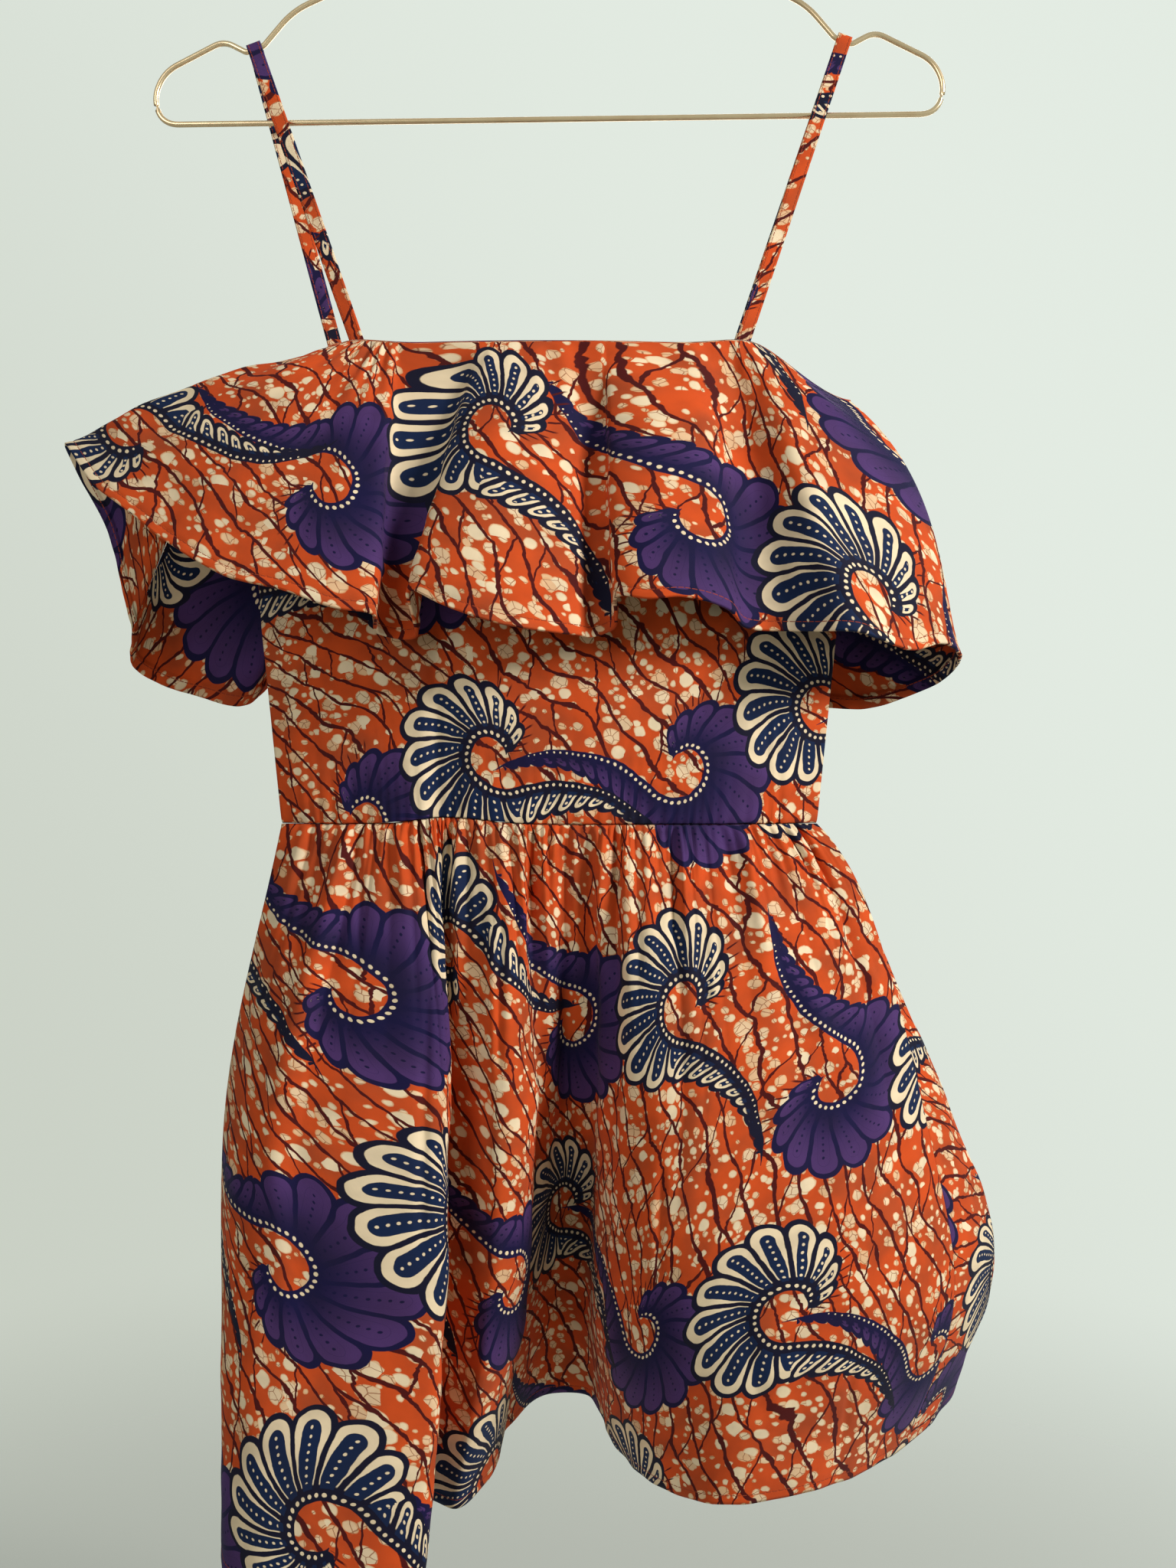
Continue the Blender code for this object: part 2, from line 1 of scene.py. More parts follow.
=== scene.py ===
"""Looks of a strapped cotton dress with a deep flounce, hung by its straps on a gold wire hanger.

Metres, +Z up. The front of the dress faces -Y. The tables and the first functions are those of the
solid model, so that each fine cloth panel lies on its solid.
"""
import math
from collections import namedtuple

import bmesh
import bpy
import numpy as np
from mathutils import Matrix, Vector

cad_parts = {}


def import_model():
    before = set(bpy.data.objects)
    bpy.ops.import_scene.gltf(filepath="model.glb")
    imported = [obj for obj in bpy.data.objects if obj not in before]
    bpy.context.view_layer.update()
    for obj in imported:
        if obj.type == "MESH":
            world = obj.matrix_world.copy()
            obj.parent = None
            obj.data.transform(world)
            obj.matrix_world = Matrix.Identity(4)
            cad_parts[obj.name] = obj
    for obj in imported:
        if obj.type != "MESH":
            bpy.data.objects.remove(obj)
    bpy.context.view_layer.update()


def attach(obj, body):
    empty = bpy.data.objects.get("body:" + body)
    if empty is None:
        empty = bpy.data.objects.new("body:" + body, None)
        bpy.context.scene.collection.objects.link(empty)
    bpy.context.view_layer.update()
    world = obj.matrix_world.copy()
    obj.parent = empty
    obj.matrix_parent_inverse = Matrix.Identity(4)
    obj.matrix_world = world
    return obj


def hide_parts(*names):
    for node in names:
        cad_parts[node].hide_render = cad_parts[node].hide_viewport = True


# Cloth
CLOTH = 0.0008               # thickness of one layer
HEM_CLOTH = 0.0017           # thickness of the folded hem
HEM_WIDTH = 0.0065
STITCH_INSET = 0.0050        # the hem's stitches run this far from its edge
SEAM_GAP = 0.0003
SIDE_GAP = 0.00005            # sewn shut, where the solids keep their play
SEAM_HALF = 0.0015
SIDE_TAPER = 0.05
WALL = 0.0011                # thickness of the solid model's walls

# Bodice
TOP_FRONT_Z = -0.3135
TOP_BACK_Z = -0.3230
TOP_SIDE_Z = -0.3360
STRAIGHT_TOP = 0.104
STRAP_LIFT = 0.0035          # the straps pull the top edge up
STRAP_LIFT_X = 0.104
STRAP_LIFT_WIDTH = 0.0220
BODY_POWER = 2.4
WAIST_Z = -0.5665
TUCK_X = -0.052
TUCK_TOP_Z = -0.440
TUCK_DEPTH = 0.0035
TUCK_WIDTH = 0.0080
TUCK_LIFT = 0.0038
TUCK_LIFT_WIDTH = 0.0280
TUCK_VALLEY = 0.0030         # the pressed valley beside the tuck
TUCK_VALLEY_OFF = 0.0075
TUCK_VALLEY_WIDTH = 0.0042
WAIST_PULLS = 46             # small waves where the waist seam pulls
WAIST_PULL = 0.00075
SEAM_ROLL = 0.0009           # the bodice turns in at its waist seam
PRESSED = ((0.1185, 0.0011), (0.1245, 0.0014))   # x and depth of the bodice's pressed creases
PRESSED_TOP_Z = -0.497
PRESSED_WIDTH = 0.0016

# Flounce
BOW_LIFT = 0.5
FLOUNCE_INNER_RADIUS = 0.197   # of the ring-shaped cut, at the top seam
FLOUNCE_DROP = 0.155
FLOUNCE_TURN = math.radians(102.0)
NO_HEM = 1e3                 # puts a panel's stitched edge out of reach
SMALL_WAVES = 27
SMALL_WAVE = 0.0013
LARGE_WAVES = 9
LARGE_WAVE = 0.0020

# Skirt
GATHERS = 120
GATHER_DEPTH = 0.0018
GATHER_FADE = 0.060          # share of the skirt's length
RIDGES = 61                  # rounded folds that the gathers run into
RIDGE_DEPTH = 0.0033
RIDGE_FADE = 0.17
RIPPLES = 34
RIPPLE_DEPTH = 0.0020
RIPPLE_FADE = 0.6
FOLD_DEPTH = 0.0030
FOLD_COUNTS = (23, 38)
FOLD_PHASES = (0.7, 2.1)
FOLD_START = 0.035
FOLD_FADE = 0.24
HIP_FLARE = 0.0110           # the gathers swell out below the waist at the right side seam
HIP_FLARE_DOWN = 0.13
HIP_FLARE_REACH = 0.07
SKIRT_LEVELS = (0.0, 0.42, 0.72, 1.0)
SKIRT_LENGTH = 0.366
GATHER_SHOWS = 0.62          # the share of the cloth's width that shows at the waist

# Straps
STRAP_WIDTH = 0.0080
STRAP_THICK = 0.0014
STRAP_TAIL = 0.0150
STRAP_STITCH = 0.0013        # from the strap's edge to its stitches
SEAT_X = 0.1613
SEAT_SLOPE = 0.372

# Hanger
WIRE_RADIUS = 0.0015
HOOK_INNER_RADIUS = 0.0170
HOOK_TIP_ANGLE = 208.0
HOOK_FOOT_ANGLE = -38.0
SHANK_END_Z = -0.0459
COLLAR_RADIUS = 0.0042
COLLAR_TOP_Z = -0.0462
COLLAR_BASE_Z = -0.0582
HANG_TILT = 0.0139

# Print, in millimetres of flat cloth
SPOT_LAYERS = ((4.9, 0.18, 0.46, 0.54), (9.2, 0.22, 0.50, 0.42))   # pitch, radii, share left out
VEINS_APART = 13.5
VEIN_JOINTS = 44.0
PLUME_CELL = (178.0, 156.0)
PLUME_MIDDLE = (22.5, -4.0)
SWAY = 0.4                   # radians, from one plume to the next
VIOLET_PLACE = (119.0, 58.0, 0.0)
VIOLET_SIZE = 1.10
NAVY_SIZE = 1.12
CURL_START = 7.2             # the curl is a log spiral, counted from its inner end
CURL_GROWTH = 0.20
CURL_TURN = 5.3
PETALS_PER_RADIAN = 2.42
PETAL_LENGTH = 27.0
INNER_PETAL = 8.0            # what the first petals have
TAIL_BEND = 74.0
TAIL_RUN = 92.0
TAIL_PETAL = 17.0
TAIL_PITCH = 10.8
TAIL_CROWDING = 0.55         # share by which the tail's petals close up at its tip
QUILL_HALF = 2.5
PETAL_DOTS = 3.2
QUILL_DOTS = 3.3
HAIR_PITCH = 0.17            # radians

# Camera
EYE = (0.0212, -0.75, -0.545)
VIEW_PIXELS = 1786.0         # the lens's reach in pixels of a picture 2048 high
PICTURE_HEIGHT = 2048.0
SENSOR = 36.0
AIM = (0.0, 0.0, -0.55)      # what the lamps point at
FLOOR_Z = -1.35

BodyRing = namedtuple("BodyRing", "height half_width front_depth back_depth")
BODY_RINGS = [BodyRing(*row) for row in (
    (-0.3135, 0.1660, 0.0330, 0.0350),
    (-0.3700, 0.1630, 0.0370, 0.0350),
    (-0.4600, 0.1575, 0.0340, 0.0330),
    (-0.5665, 0.1465, 0.0300, 0.0300),
)]

TOP_HALF_WIDTH = BODY_RINGS[0].half_width

# A rib of the flounce, from its top seam to its hem. seam is the share of the way round the top
# edge, from the left side seam over the front; bow is how far the rib arches outwards.
FlounceRib = namedtuple("FlounceRib", "seam hem_x hem_y hem_z bow")
FLOUNCE_RIBS = [FlounceRib(*row) for row in (
    (0.000, -0.2358, 0.020, -0.4575, 0.008),
    (0.016, -0.2405, 0.016, -0.4306, 0.010),
    (0.032, -0.2459, 0.012, -0.4038, 0.012),
    (0.047, -0.2578, 0.006, -0.3780, 0.011),
    (0.064, -0.2641, -0.004, -0.3598, 0.011),
    (0.080, -0.2420, -0.022, -0.3856, 0.011),
    (0.091, -0.2172, -0.034, -0.4039, 0.011),
    (0.099, -0.1976, -0.044, -0.4189, 0.009),
    (0.108, -0.1599, -0.058, -0.4401, 0.006),
    (0.115, -0.1360, -0.064, -0.4460, 0.006),
    (0.122, -0.1040, -0.069, -0.4572, 0.005),
    (0.129, -0.0860, -0.066, -0.4600, 0.004),
    (0.141, -0.0844, -0.048, -0.4681, 0.000),
    (0.175, -0.0700, -0.046, -0.4700, 0.000),
    (0.200, -0.0687, -0.064, -0.4480, 0.003),
    (0.208, -0.0521, -0.072, -0.4554, 0.005),
    (0.222, -0.0279, -0.076, -0.4642, 0.006),
    (0.240, -0.0031, -0.072, -0.4683, 0.005),
    (0.260, 0.0170, -0.060, -0.4699, 0.003),
    (0.275, 0.0255, -0.048, -0.4692, 0.000),
    (0.287, 0.0330, -0.048, -0.4660, 0.000),
    (0.300, 0.0345, -0.066, -0.4510, 0.003),
    (0.330, 0.0526, -0.074, -0.4530, 0.005),
    (0.352, 0.0671, -0.072, -0.4520, 0.005),
    (0.374, 0.0925, -0.062, -0.4576, 0.003),
    (0.386, 0.1038, -0.046, -0.4644, 0.000),
    (0.396, 0.1236, -0.045, -0.4659, 0.000),
    (0.402, 0.1377, -0.054, -0.4672, 0.003),
    (0.408, 0.1537, -0.062, -0.4680, 0.005),
    (0.418, 0.1752, -0.052, -0.4731, 0.009),
    (0.430, 0.1918, -0.038, -0.4744, 0.013),
    (0.455, 0.2134, -0.015, -0.4690, 0.017),
    (0.500, 0.2303, 0.015, -0.4747, 0.018),
    (0.540, 0.2255, 0.045, -0.4858, 0.014),
    (0.565, 0.2058, 0.052, -0.4947, 0.009),
    (0.585, 0.1850, 0.057, -0.5005, 0.005),
    (0.605, 0.1600, 0.060, -0.4995, 0.005),
    (0.635, 0.1300, 0.074, -0.4990, 0.006),
    (0.665, 0.0950, 0.052, -0.4970, 0.001),
    (0.700, 0.0600, 0.075, -0.4980, 0.006),
    (0.735, 0.0200, 0.053, -0.4960, 0.001),
    (0.770, -0.0200, 0.076, -0.4970, 0.006),
    (0.805, -0.0600, 0.053, -0.4960, 0.001),
    (0.840, -0.1000, 0.075, -0.4980, 0.006),
    (0.870, -0.1380, 0.058, -0.4890, 0.001),
    (0.886, -0.1680, 0.064, -0.4850, 0.002),
    (0.900, -0.1805, 0.053, -0.4985, 0.004),
    (0.922, -0.2090, 0.052, -0.4930, 0.005),
    (0.945, -0.2270, 0.046, -0.4870, 0.006),
    (0.972, -0.2400, 0.034, -0.4770, 0.006),
)]

# A line of the skirt from the waist seam to the hem: the crest, flank or bottom of a fold.
# waist is the share of the way round the waist; mid and low are its places at two levels.
SkirtLine = namedtuple("SkirtLine", "waist mid_x mid_y low_x low_y hem_x hem_y hem_z")
SKIRT_LINES = [SkirtLine(*row) for row in (
    (0.000, -0.1780, 0.000, -0.1770, -0.008, -0.1710, -0.020, -0.9400),
    (0.045, -0.1570, -0.040, -0.1620, -0.050, -0.1630, -0.059, -0.9460),
    (0.090, -0.1120, -0.054, -0.1150, -0.065, -0.1110, -0.077, -0.9470),
    (0.132, -0.0520, -0.056, -0.0520, -0.066, -0.0600, -0.076, -0.9450),
    (0.146, -0.0500, -0.044, -0.0560, -0.047, -0.0690, -0.052, -0.9430),
    (0.160, -0.0600, -0.026, -0.0700, -0.018, -0.0870, -0.014, -0.9365),
    (0.174, -0.0440, -0.026, -0.0540, -0.014, -0.0680, 0.002, -0.9375),
    (0.190, -0.0280, -0.047, -0.0330, -0.034, -0.0500, -0.010, -0.9370),
    (0.213, -0.0120, -0.042, -0.0170, -0.020, -0.0350, 0.008, -0.9320),
    (0.245, -0.0020, -0.014, -0.0110, 0.030, -0.0250, 0.058, -0.9240),
    (0.275, 0.0130, -0.001, 0.0040, 0.054, -0.0020, 0.086, -0.9180),
    (0.293, 0.0260, -0.010, 0.0200, 0.042, 0.0200, 0.082, -0.9170),
    (0.312, 0.0330, -0.036, 0.0260, -0.004, 0.0285, 0.056, -0.9190),
    (0.330, 0.0480, -0.055, 0.0390, -0.036, 0.0370, 0.026, -0.9205),
    (0.370, 0.0750, -0.062, 0.0680, -0.060, 0.0585, -0.022, -0.9190),
    (0.405, 0.1050, -0.062, 0.1050, -0.068, 0.0920, -0.050, -0.9140),
    (0.437, 0.1380, -0.055, 0.1450, -0.062, 0.1300, -0.044, -0.9110),
    (0.468, 0.1680, -0.042, 0.1820, -0.048, 0.1680, -0.018, -0.9140),
    (0.500, 0.1950, -0.022, 0.2150, -0.024, 0.2000, 0.016, -0.9150),
    (0.535, 0.2130, 0.004, 0.2440, 0.010, 0.2260, 0.048, -0.9120),
    (0.575, 0.2050, 0.032, 0.2500, 0.045, 0.2430, 0.085, -0.9080),
    (0.630, 0.1550, 0.060, 0.1950, 0.088, 0.1950, 0.116, -0.9110),
    (0.680, 0.1080, 0.048, 0.1320, 0.070, 0.1380, 0.096, -0.9130),
    (0.730, 0.0580, 0.062, 0.0720, 0.094, 0.0820, 0.126, -0.9140),
    (0.780, 0.0140, 0.048, 0.0200, 0.080, 0.0250, 0.108, -0.9160),
    (0.830, -0.0280, 0.060, -0.0320, 0.086, -0.0320, 0.114, -0.9170),
    (0.880, -0.0700, 0.045, -0.0800, 0.060, -0.0860, 0.076, -0.9200),
    (0.925, -0.1180, 0.052, -0.1280, 0.064, -0.1320, 0.076, -0.9230),
    (0.965, -0.1600, 0.032, -0.1660, 0.036, -0.1650, 0.040, -0.9260),
)]

# A crease pressed or pulled into the front of the skirt, from its upper to its lower end.
# A valley has a negative rise and a ridge a positive one.
Crease = namedtuple("Crease", "top_x top_z foot_x foot_z rise width")
SKIRT_CREASES = [Crease(*row) for row in (
    (-0.1240, -0.5720, -0.1330, -0.6280, -0.0014, 0.0026),
    (-0.1006, -0.5726, -0.0990, -0.6290, -0.0020, 0.0024),
    (-0.0790, -0.5700, -0.0740, -0.6100, 0.0016, 0.0030),
    (-0.0613, -0.6400, -0.0625, -0.7690, -0.0018, 0.0024),
    (-0.0370, -0.5700, -0.0400, -0.6350, 0.0018, 0.0032),
    (-0.0239, -0.6100, -0.0245, -0.6913, -0.0026, 0.0024),
    (-0.0080, -0.5900, -0.0085, -0.6960, -0.0026, 0.0026),
    (0.0480, -0.5720, 0.0470, -0.6450, -0.0018, 0.0028),
    (0.0687, -0.5726, 0.0665, -0.6250, -0.0020, 0.0024),
    (0.0819, -0.5940, 0.0825, -0.6640, -0.0022, 0.0024),
    (0.1040, -0.5720, 0.1130, -0.6290, 0.0018, 0.0034),
    (0.1180, -0.5740, 0.1250, -0.6090, -0.0018, 0.0024),
    (0.1262, -0.6395, 0.1624, -0.7076, 0.0020, 0.0060),
    (0.1445, -0.5860, 0.1530, -0.6190, -0.0020, 0.0024),
    (0.1698, -0.6423, 0.1830, -0.6660, 0.0016, 0.0026),
    (0.0582, -0.7403, 0.0578, -0.7900, -0.0018, 0.0022),
    (0.2013, -0.7457, 0.2020, -0.7819, 0.0016, 0.0026),
    (0.1554, -0.8457, 0.1550, -0.8846, -0.0016, 0.0022),
    (-0.1390, -0.7300, -0.1290, -0.8200, 0.0016, 0.0060),
    (0.0950, -0.8050, 0.1120, -0.8700, -0.0012, 0.0050),
)]

# Half of the hanger's wire, from the neck out and back along the bar: corner and its radius
WireCorner = namedtuple("WireCorner", "x z radius")
WIRE_CORNERS = [WireCorner(*row) for row in (
    (0.0080, -0.0600, 0.004),
    (0.1405, -0.1190, 0.010),
    (0.1566, -0.1380, 0.0015),
    (0.1660, -0.1415, 0.0015),
    (0.1785, -0.1350, 0.006),
    (0.2110, -0.1515, 0.008),
    (0.2165, -0.1650, 0.006),
    (0.2130, -0.1805, 0.010),
)]

# Dyes of the print, as red, green and blue of the finished cloth
ORANGE = (0.700, 0.086, 0.014)
RUST = (0.430, 0.072, 0.020)
CREAM = (0.960, 0.760, 0.490)
PEACH = (0.800, 0.360, 0.130)
MAROON = (0.085, 0.007, 0.006)
BROWN = (0.330, 0.090, 0.030)
NAVY = (0.006, 0.018, 0.062)
INK = (0.006, 0.006, 0.022)
VIOLET = (0.080, 0.034, 0.142)
INDIGO = (0.008, 0.006, 0.045)
THREAD = (0.330, 0.050, 0.018)
SOOT = (0.020, 0.012, 0.012)     # what darkens the cloth unevenly

GOLD = (0.930, 0.720, 0.460)
DULL_GOLD = (0.840, 0.610, 0.370)
PLAIN_GOLD = (0.800, 0.620, 0.400)
DIM_WALL = (0.575, 0.615, 0.540)
BRIGHT_WALL = (0.770, 0.835, 0.765)
FLOOR = (0.460, 0.480, 0.430)

# The lamps: name, place, watts and size
LAMPS = (
    ("window", (1.95, -1.20, 0.50), 62.0, 0.6),
    ("fill", (-1.30, -1.80, 0.20), 15.0, 1.4),
    ("back", (0.30, 1.60, 0.30), 22.0, 1.6),
)


def smoothstep(value):
    value = np.clip(value, 0.0, 1.0)
    return value * value * (3.0 - 2.0 * value)


def hermite(knots, rows, at):
    """Smooth curve through each row of values at the knots, read at that row's own place."""
    slopes = np.gradient(rows, knots, axis=1)
    index = np.clip(np.searchsorted(knots, at, side="right") - 1, 0, len(knots) - 2)
    pick = np.arange(len(at))
    span = knots[index + 1] - knots[index]
    t = (at - knots[index]) / span
    start, end = rows[pick, index], rows[pick, index + 1]
    rise = (1 + 2 * t) * (1 - t) ** 2 * start + t * t * (3 - 2 * t) * end
    bend = t * (1 - t) ** 2 * slopes[pick, index] - t * t * (1 - t) * slopes[pick, index + 1]
    return rise + bend * span


def around(knots, values, at, turn=0.0):
    """Smooth closed curve through values; it gains turn in each whole round."""
    knots, values = np.asarray(knots), np.asarray(values)
    all_knots = np.concatenate([knots[-3:] - 1.0, knots, knots[:4] + 1.0])
    all_values = np.concatenate([values[-3:] - turn, values, values[:4] + turn])
    return hermite(all_knots, np.broadcast_to(all_values, (len(at), len(all_knots))), at)


def ring_knots(points):
    """Shares of the way round a closed line at its points, and its length."""
    points = np.asarray(points)
    steps = np.linalg.norm(np.roll(points, -1, axis=0) - points, axis=1)
    return np.concatenate([[0.0], np.cumsum(steps)[:-1]]) / steps.sum(), steps.sum()


def row_of(table, column):
    return [getattr(row, column) for row in table]


FLOUNCE_KNOTS, FLOUNCE_HEM = ring_knots([(r.hem_x, r.hem_y, r.hem_z) for r in FLOUNCE_RIBS])
FLOUNCE_SEAM = row_of(FLOUNCE_RIBS, "seam").index(0.5)
SKIRT_KNOTS, SKIRT_HEM = ring_knots([(r.hem_x, r.hem_y) for r in SKIRT_LINES])
SKIRT_SEAM = row_of(SKIRT_LINES, "waist").index(0.5)


def body_ring(share, height, is_back, grow=0.0):
    """x and y of the body's outer face, share of the way round, grown outwards by grow."""
    heights = [-ring.height for ring in BODY_RINGS]
    half_width = np.interp(-height, heights, row_of(BODY_RINGS, "half_width"))
    depths = row_of(BODY_RINGS, "back_depth" if is_back else "front_depth")
    depth = np.interp(-height, heights, depths)
    across = 4.0 * (share - 0.5) if is_back else 4.0 * share
    x = half_width * ((1.0 - across) if is_back else (across - 1.0))
    bulge = 1.0 - np.abs(x / half_width) ** BODY_POWER
    y = SEAM_HALF + (depth - SEAM_HALF) * bulge + grow
    if is_back:
        return x, y
    ramp = smoothstep((TUCK_TOP_Z - height) / (TUCK_TOP_Z - WAIST_Z))
    y = y - TUCK_DEPTH * ramp * np.exp(-((x - TUCK_X) / TUCK_WIDTH) ** 2)
    return x, -y


def arch_direction(share, is_back):
    """Level direction in which the flounce arches: straight out, but sideways at the side seams."""
    across = 4.0 * share - 1.0 - 2.0 * is_back
    turn = math.pi / 2.0 * across ** 3
    side = -1.0 if is_back else 1.0
    return np.column_stack([side * np.sin(turn), -side * np.cos(turn)])


def top_height(share, is_back):
    """Height of the top edge, which dips to the side seams under the arms."""
    x, _ = body_ring(share, np.full_like(share, TOP_FRONT_Z), is_back)
    dip = smoothstep((np.abs(x) - STRAIGHT_TOP) / (TOP_HALF_WIDTH - STRAIGHT_TOP))
    middle = TOP_BACK_Z if is_back else TOP_FRONT_Z
    lift = STRAP_LIFT * np.exp(-((np.abs(x) - STRAP_LIFT_X) / STRAP_LIFT_WIDTH) ** 2)
    return middle + (TOP_SIDE_Z - middle) * dip + lift


def waist_height(x, is_back):
    if is_back:
        return np.full_like(x, WAIST_Z)
    return WAIST_Z + TUCK_LIFT * np.exp(-((x - TUCK_X) / TUCK_LIFT_WIDTH) ** 2)


def bodice_base(across, down, is_back):
    """Outer face of a bodice panel; across and down run from 0 to 1."""
    share = (across + is_back) / 2.0
    top = top_height(share, is_back) - SEAM_GAP
    waist_x, _ = body_ring(share, np.full_like(share, WAIST_Z), is_back)
    bottom = waist_height(waist_x, is_back) + SEAM_GAP / 2.0
    height = top + (bottom - top) * down
    x, y = body_ring(share, height, is_back)
    return np.column_stack([x, y, height])


def round_share(across, knots, seam_index, length, is_back):
    """Share of the way round at a place across a front or back panel."""
    trim = SIDE_GAP / 2.0 / length
    first, last = trim, knots[seam_index] - trim
    if is_back:
        first, last = knots[seam_index] + trim, 1.0 - trim
    return first + (last - first) * across


def flounce_round(across, is_back):
    return round_share(across, FLOUNCE_KNOTS, FLOUNCE_SEAM, FLOUNCE_HEM, is_back)


def skirt_round(across, is_back):
    return round_share(across, SKIRT_KNOTS, SKIRT_SEAM, SKIRT_HEM, is_back)


def columns_at(table, knots, place_round, is_back):
    """Share of the way round the upper edge, and the table's other columns, read between its rows."""
    upper, *others = table[0]._fields
    share = around(knots, row_of(table, upper), place_round, turn=1.0)
    share = np.clip(share, 0.5 * is_back, 0.5 + 0.5 * is_back)
    return share, {name: around(knots, row_of(table, name), place_round) for name in others}


def flounce_base(across, down, is_back):
    """Outer face of half the flounce."""
    seam, rib = columns_at(FLOUNCE_RIBS, FLOUNCE_KNOTS, flounce_round(across, is_back), is_back)
    top_z = top_height(seam, is_back)
    top_x, top_y = body_ring(seam, top_z, is_back, grow=WALL + SEAM_GAP)
    top = np.column_stack([top_x, top_y, top_z])
    hem = np.column_stack([rib["hem_x"], rib["hem_y"], rib["hem_z"]])
    arch = (4.0 * down * (1.0 - down) ** 1.5 * rib["bow"])[:, None]
    points = top + (hem - top) * down[:, None]
    points[:, :2] += arch_direction(seam, is_back) * arch
    points[:, 2:] += arch * BOW_LIFT
    return points


def skirt_base(across, down, is_back):
    """Outer face of half the skirt with its large folds only."""
    place_round = skirt_round(across, is_back)
    waist, line = columns_at(SKIRT_LINES, SKIRT_KNOTS, place_round, is_back)
    waist_x, waist_y = body_ring(waist, np.full_like(waist, WAIST_Z), is_back)
    top = waist_height(waist_x, is_back) - SEAM_GAP / 2.0
    levels = np.array(SKIRT_LEVELS)
    xs = np.stack([waist_x, line["mid_x"], line["low_x"], line["hem_x"]], axis=1)
    ys = np.stack([waist_y, line["mid_y"], line["low_y"], line["hem_y"]], axis=1)
    z = top + (line["hem_z"] - top) * down
    near = np.exp(-((place_round - SKIRT_KNOTS[SKIRT_SEAM]) / HIP_FLARE_REACH) ** 2)
    flare = HIP_FLARE * near * down / HIP_FLARE_DOWN * np.exp(1.0 - down / HIP_FLARE_DOWN)
    return np.column_stack([hermite(levels, xs, down) + flare, hermite(levels, ys, down), z])


def unit(vectors):
    return vectors / np.maximum(np.linalg.norm(vectors, axis=1, keepdims=True), 1e-9)


def levelled(vectors):
    """The same directions, laid level."""
    return unit(vectors * (1.0, 1.0, 0.0))


def normals(surface, across, down, is_back):
    """Directions straight out of a panel's face."""
    step = 1e-3
    along, fall = (surface(*np.clip((across + move[0], down + move[1]), 0, 1), is_back)
                   - surface(*np.clip((across - move[0], down - move[1]), 0, 1), is_back)
                   for move in ((step, 0.0), (0.0, step)))
    return unit(np.cross(fall, along))


def side_taper(across):
    """0 at a panel's side seams and 1 away from them."""
    return smoothstep(np.minimum(across, 1.0 - across) / SIDE_TAPER)


def ripples(along, count, wander, phase):
    """Waves whose spacing and height wander, count of them between 0 and 1."""
    drift = wander * (np.sin(2 * math.pi * (1.7 * along + phase))
                      + 0.6 * np.sin(2 * math.pi * (4.3 * along + 2.1 * phase)))
    height = 0.65 + 0.35 * np.sin(2 * math.pi * (2.9 * along + 1.3 * phase))
    return height * np.sin(2 * math.pi * (count * along + phase) + drift)


def ridges(along, count, wander, phase):
    """Rounded gathers with narrow valleys between them."""
    drift = wander * (np.sin(2 * math.pi * (2.3 * along + phase))
                      + 0.5 * np.sin(2 * math.pi * (7.1 * along + 1.7 * phase)))
    return np.abs(np.sin(math.pi * count * along + drift)) ** 0.7 * 2.0 - 1.2


def cloth_noise(u, v, size, phase):
    """Soft unevenness over flat cloth, with patches about size across."""
    a, b = 2 * math.pi * u / size, 2 * math.pi * v / size
    return (np.sin(0.62 * a + 0.35 * b + phase) * np.cos(0.51 * b - 0.28 * a + 1.9 * phase)
            + 0.6 * np.sin(1.13 * a - 0.74 * b + 2.7 * phase) * np.cos(0.93 * b + 0.4 * a + phase)) / 1.6


def soft_line(distance, width):
    return np.exp(-(distance / width) ** 2)


def crease_push(x, z, crease):
    """How far a crease lifts the cloth at x and z; it fades out at its ends."""
    run_x, run_z = crease.foot_x - crease.top_x, crease.foot_z - crease.top_z
    length = math.hypot(run_x, run_z)
    along = ((x - crease.top_x) * run_x + (z - crease.top_z) * run_z) / length
    aside = ((x - crease.top_x) * run_z - (z - crease.top_z) * run_x) / length
    starts, stops = (smoothstep(way / (0.25 * length) + 0.5) for way in (along, length - along))
    return crease.rise * starts * stops * soft_line(aside, crease.width)


def hem_push(from_hem, along, phase):
    """The hem's stitches draw a groove and small puckers into the cloth."""
    groove = -0.00035 * soft_line(from_hem - STITCH_INSET, 0.0010)
    return groove + 0.00030 * ripples(along, 58, 1.9, phase) * np.exp(-from_hem / 0.009)


def bodice_surface(across, down, is_back):
    """Bodice panel with its tuck, pressed creases and the pull of its seams."""
    points = bodice_base(across, down, is_back)
    x, z = points[:, 0].copy(), points[:, 2].copy()
    side = side_taper(across)
    above_waist = (z - WAIST_Z) / 0.02
    pull = ridges(across, WAIST_PULLS, 2.2, 0.31) * np.exp(-above_waist) * WAIST_PULL
    waves = 0.0011 * cloth_noise(x, z, 0.075, 0.4 + is_back) + 0.0005 * cloth_noise(x, z, 0.031, 2.0)
    push = side * (pull + waves)
    if not is_back:
        low = smoothstep((TUCK_TOP_Z - z) / 0.05)
        push = push - TUCK_VALLEY * low * soft_line(x - TUCK_X + TUCK_VALLEY_OFF, TUCK_VALLEY_WIDTH)
        for crease_x, depth in PRESSED:
            below_top = smoothstep((PRESSED_TOP_Z - z) / 0.02)
            push = push - depth * soft_line(x - crease_x, PRESSED_WIDTH) * below_top
    roll = np.exp(-(z - points[:, 2].min()) / 0.0012)
    push = push - SEAM_ROLL * roll * (down > 0.9)
    points += normals(bodice_base, across, down, is_back) * push[:, None]
    return points


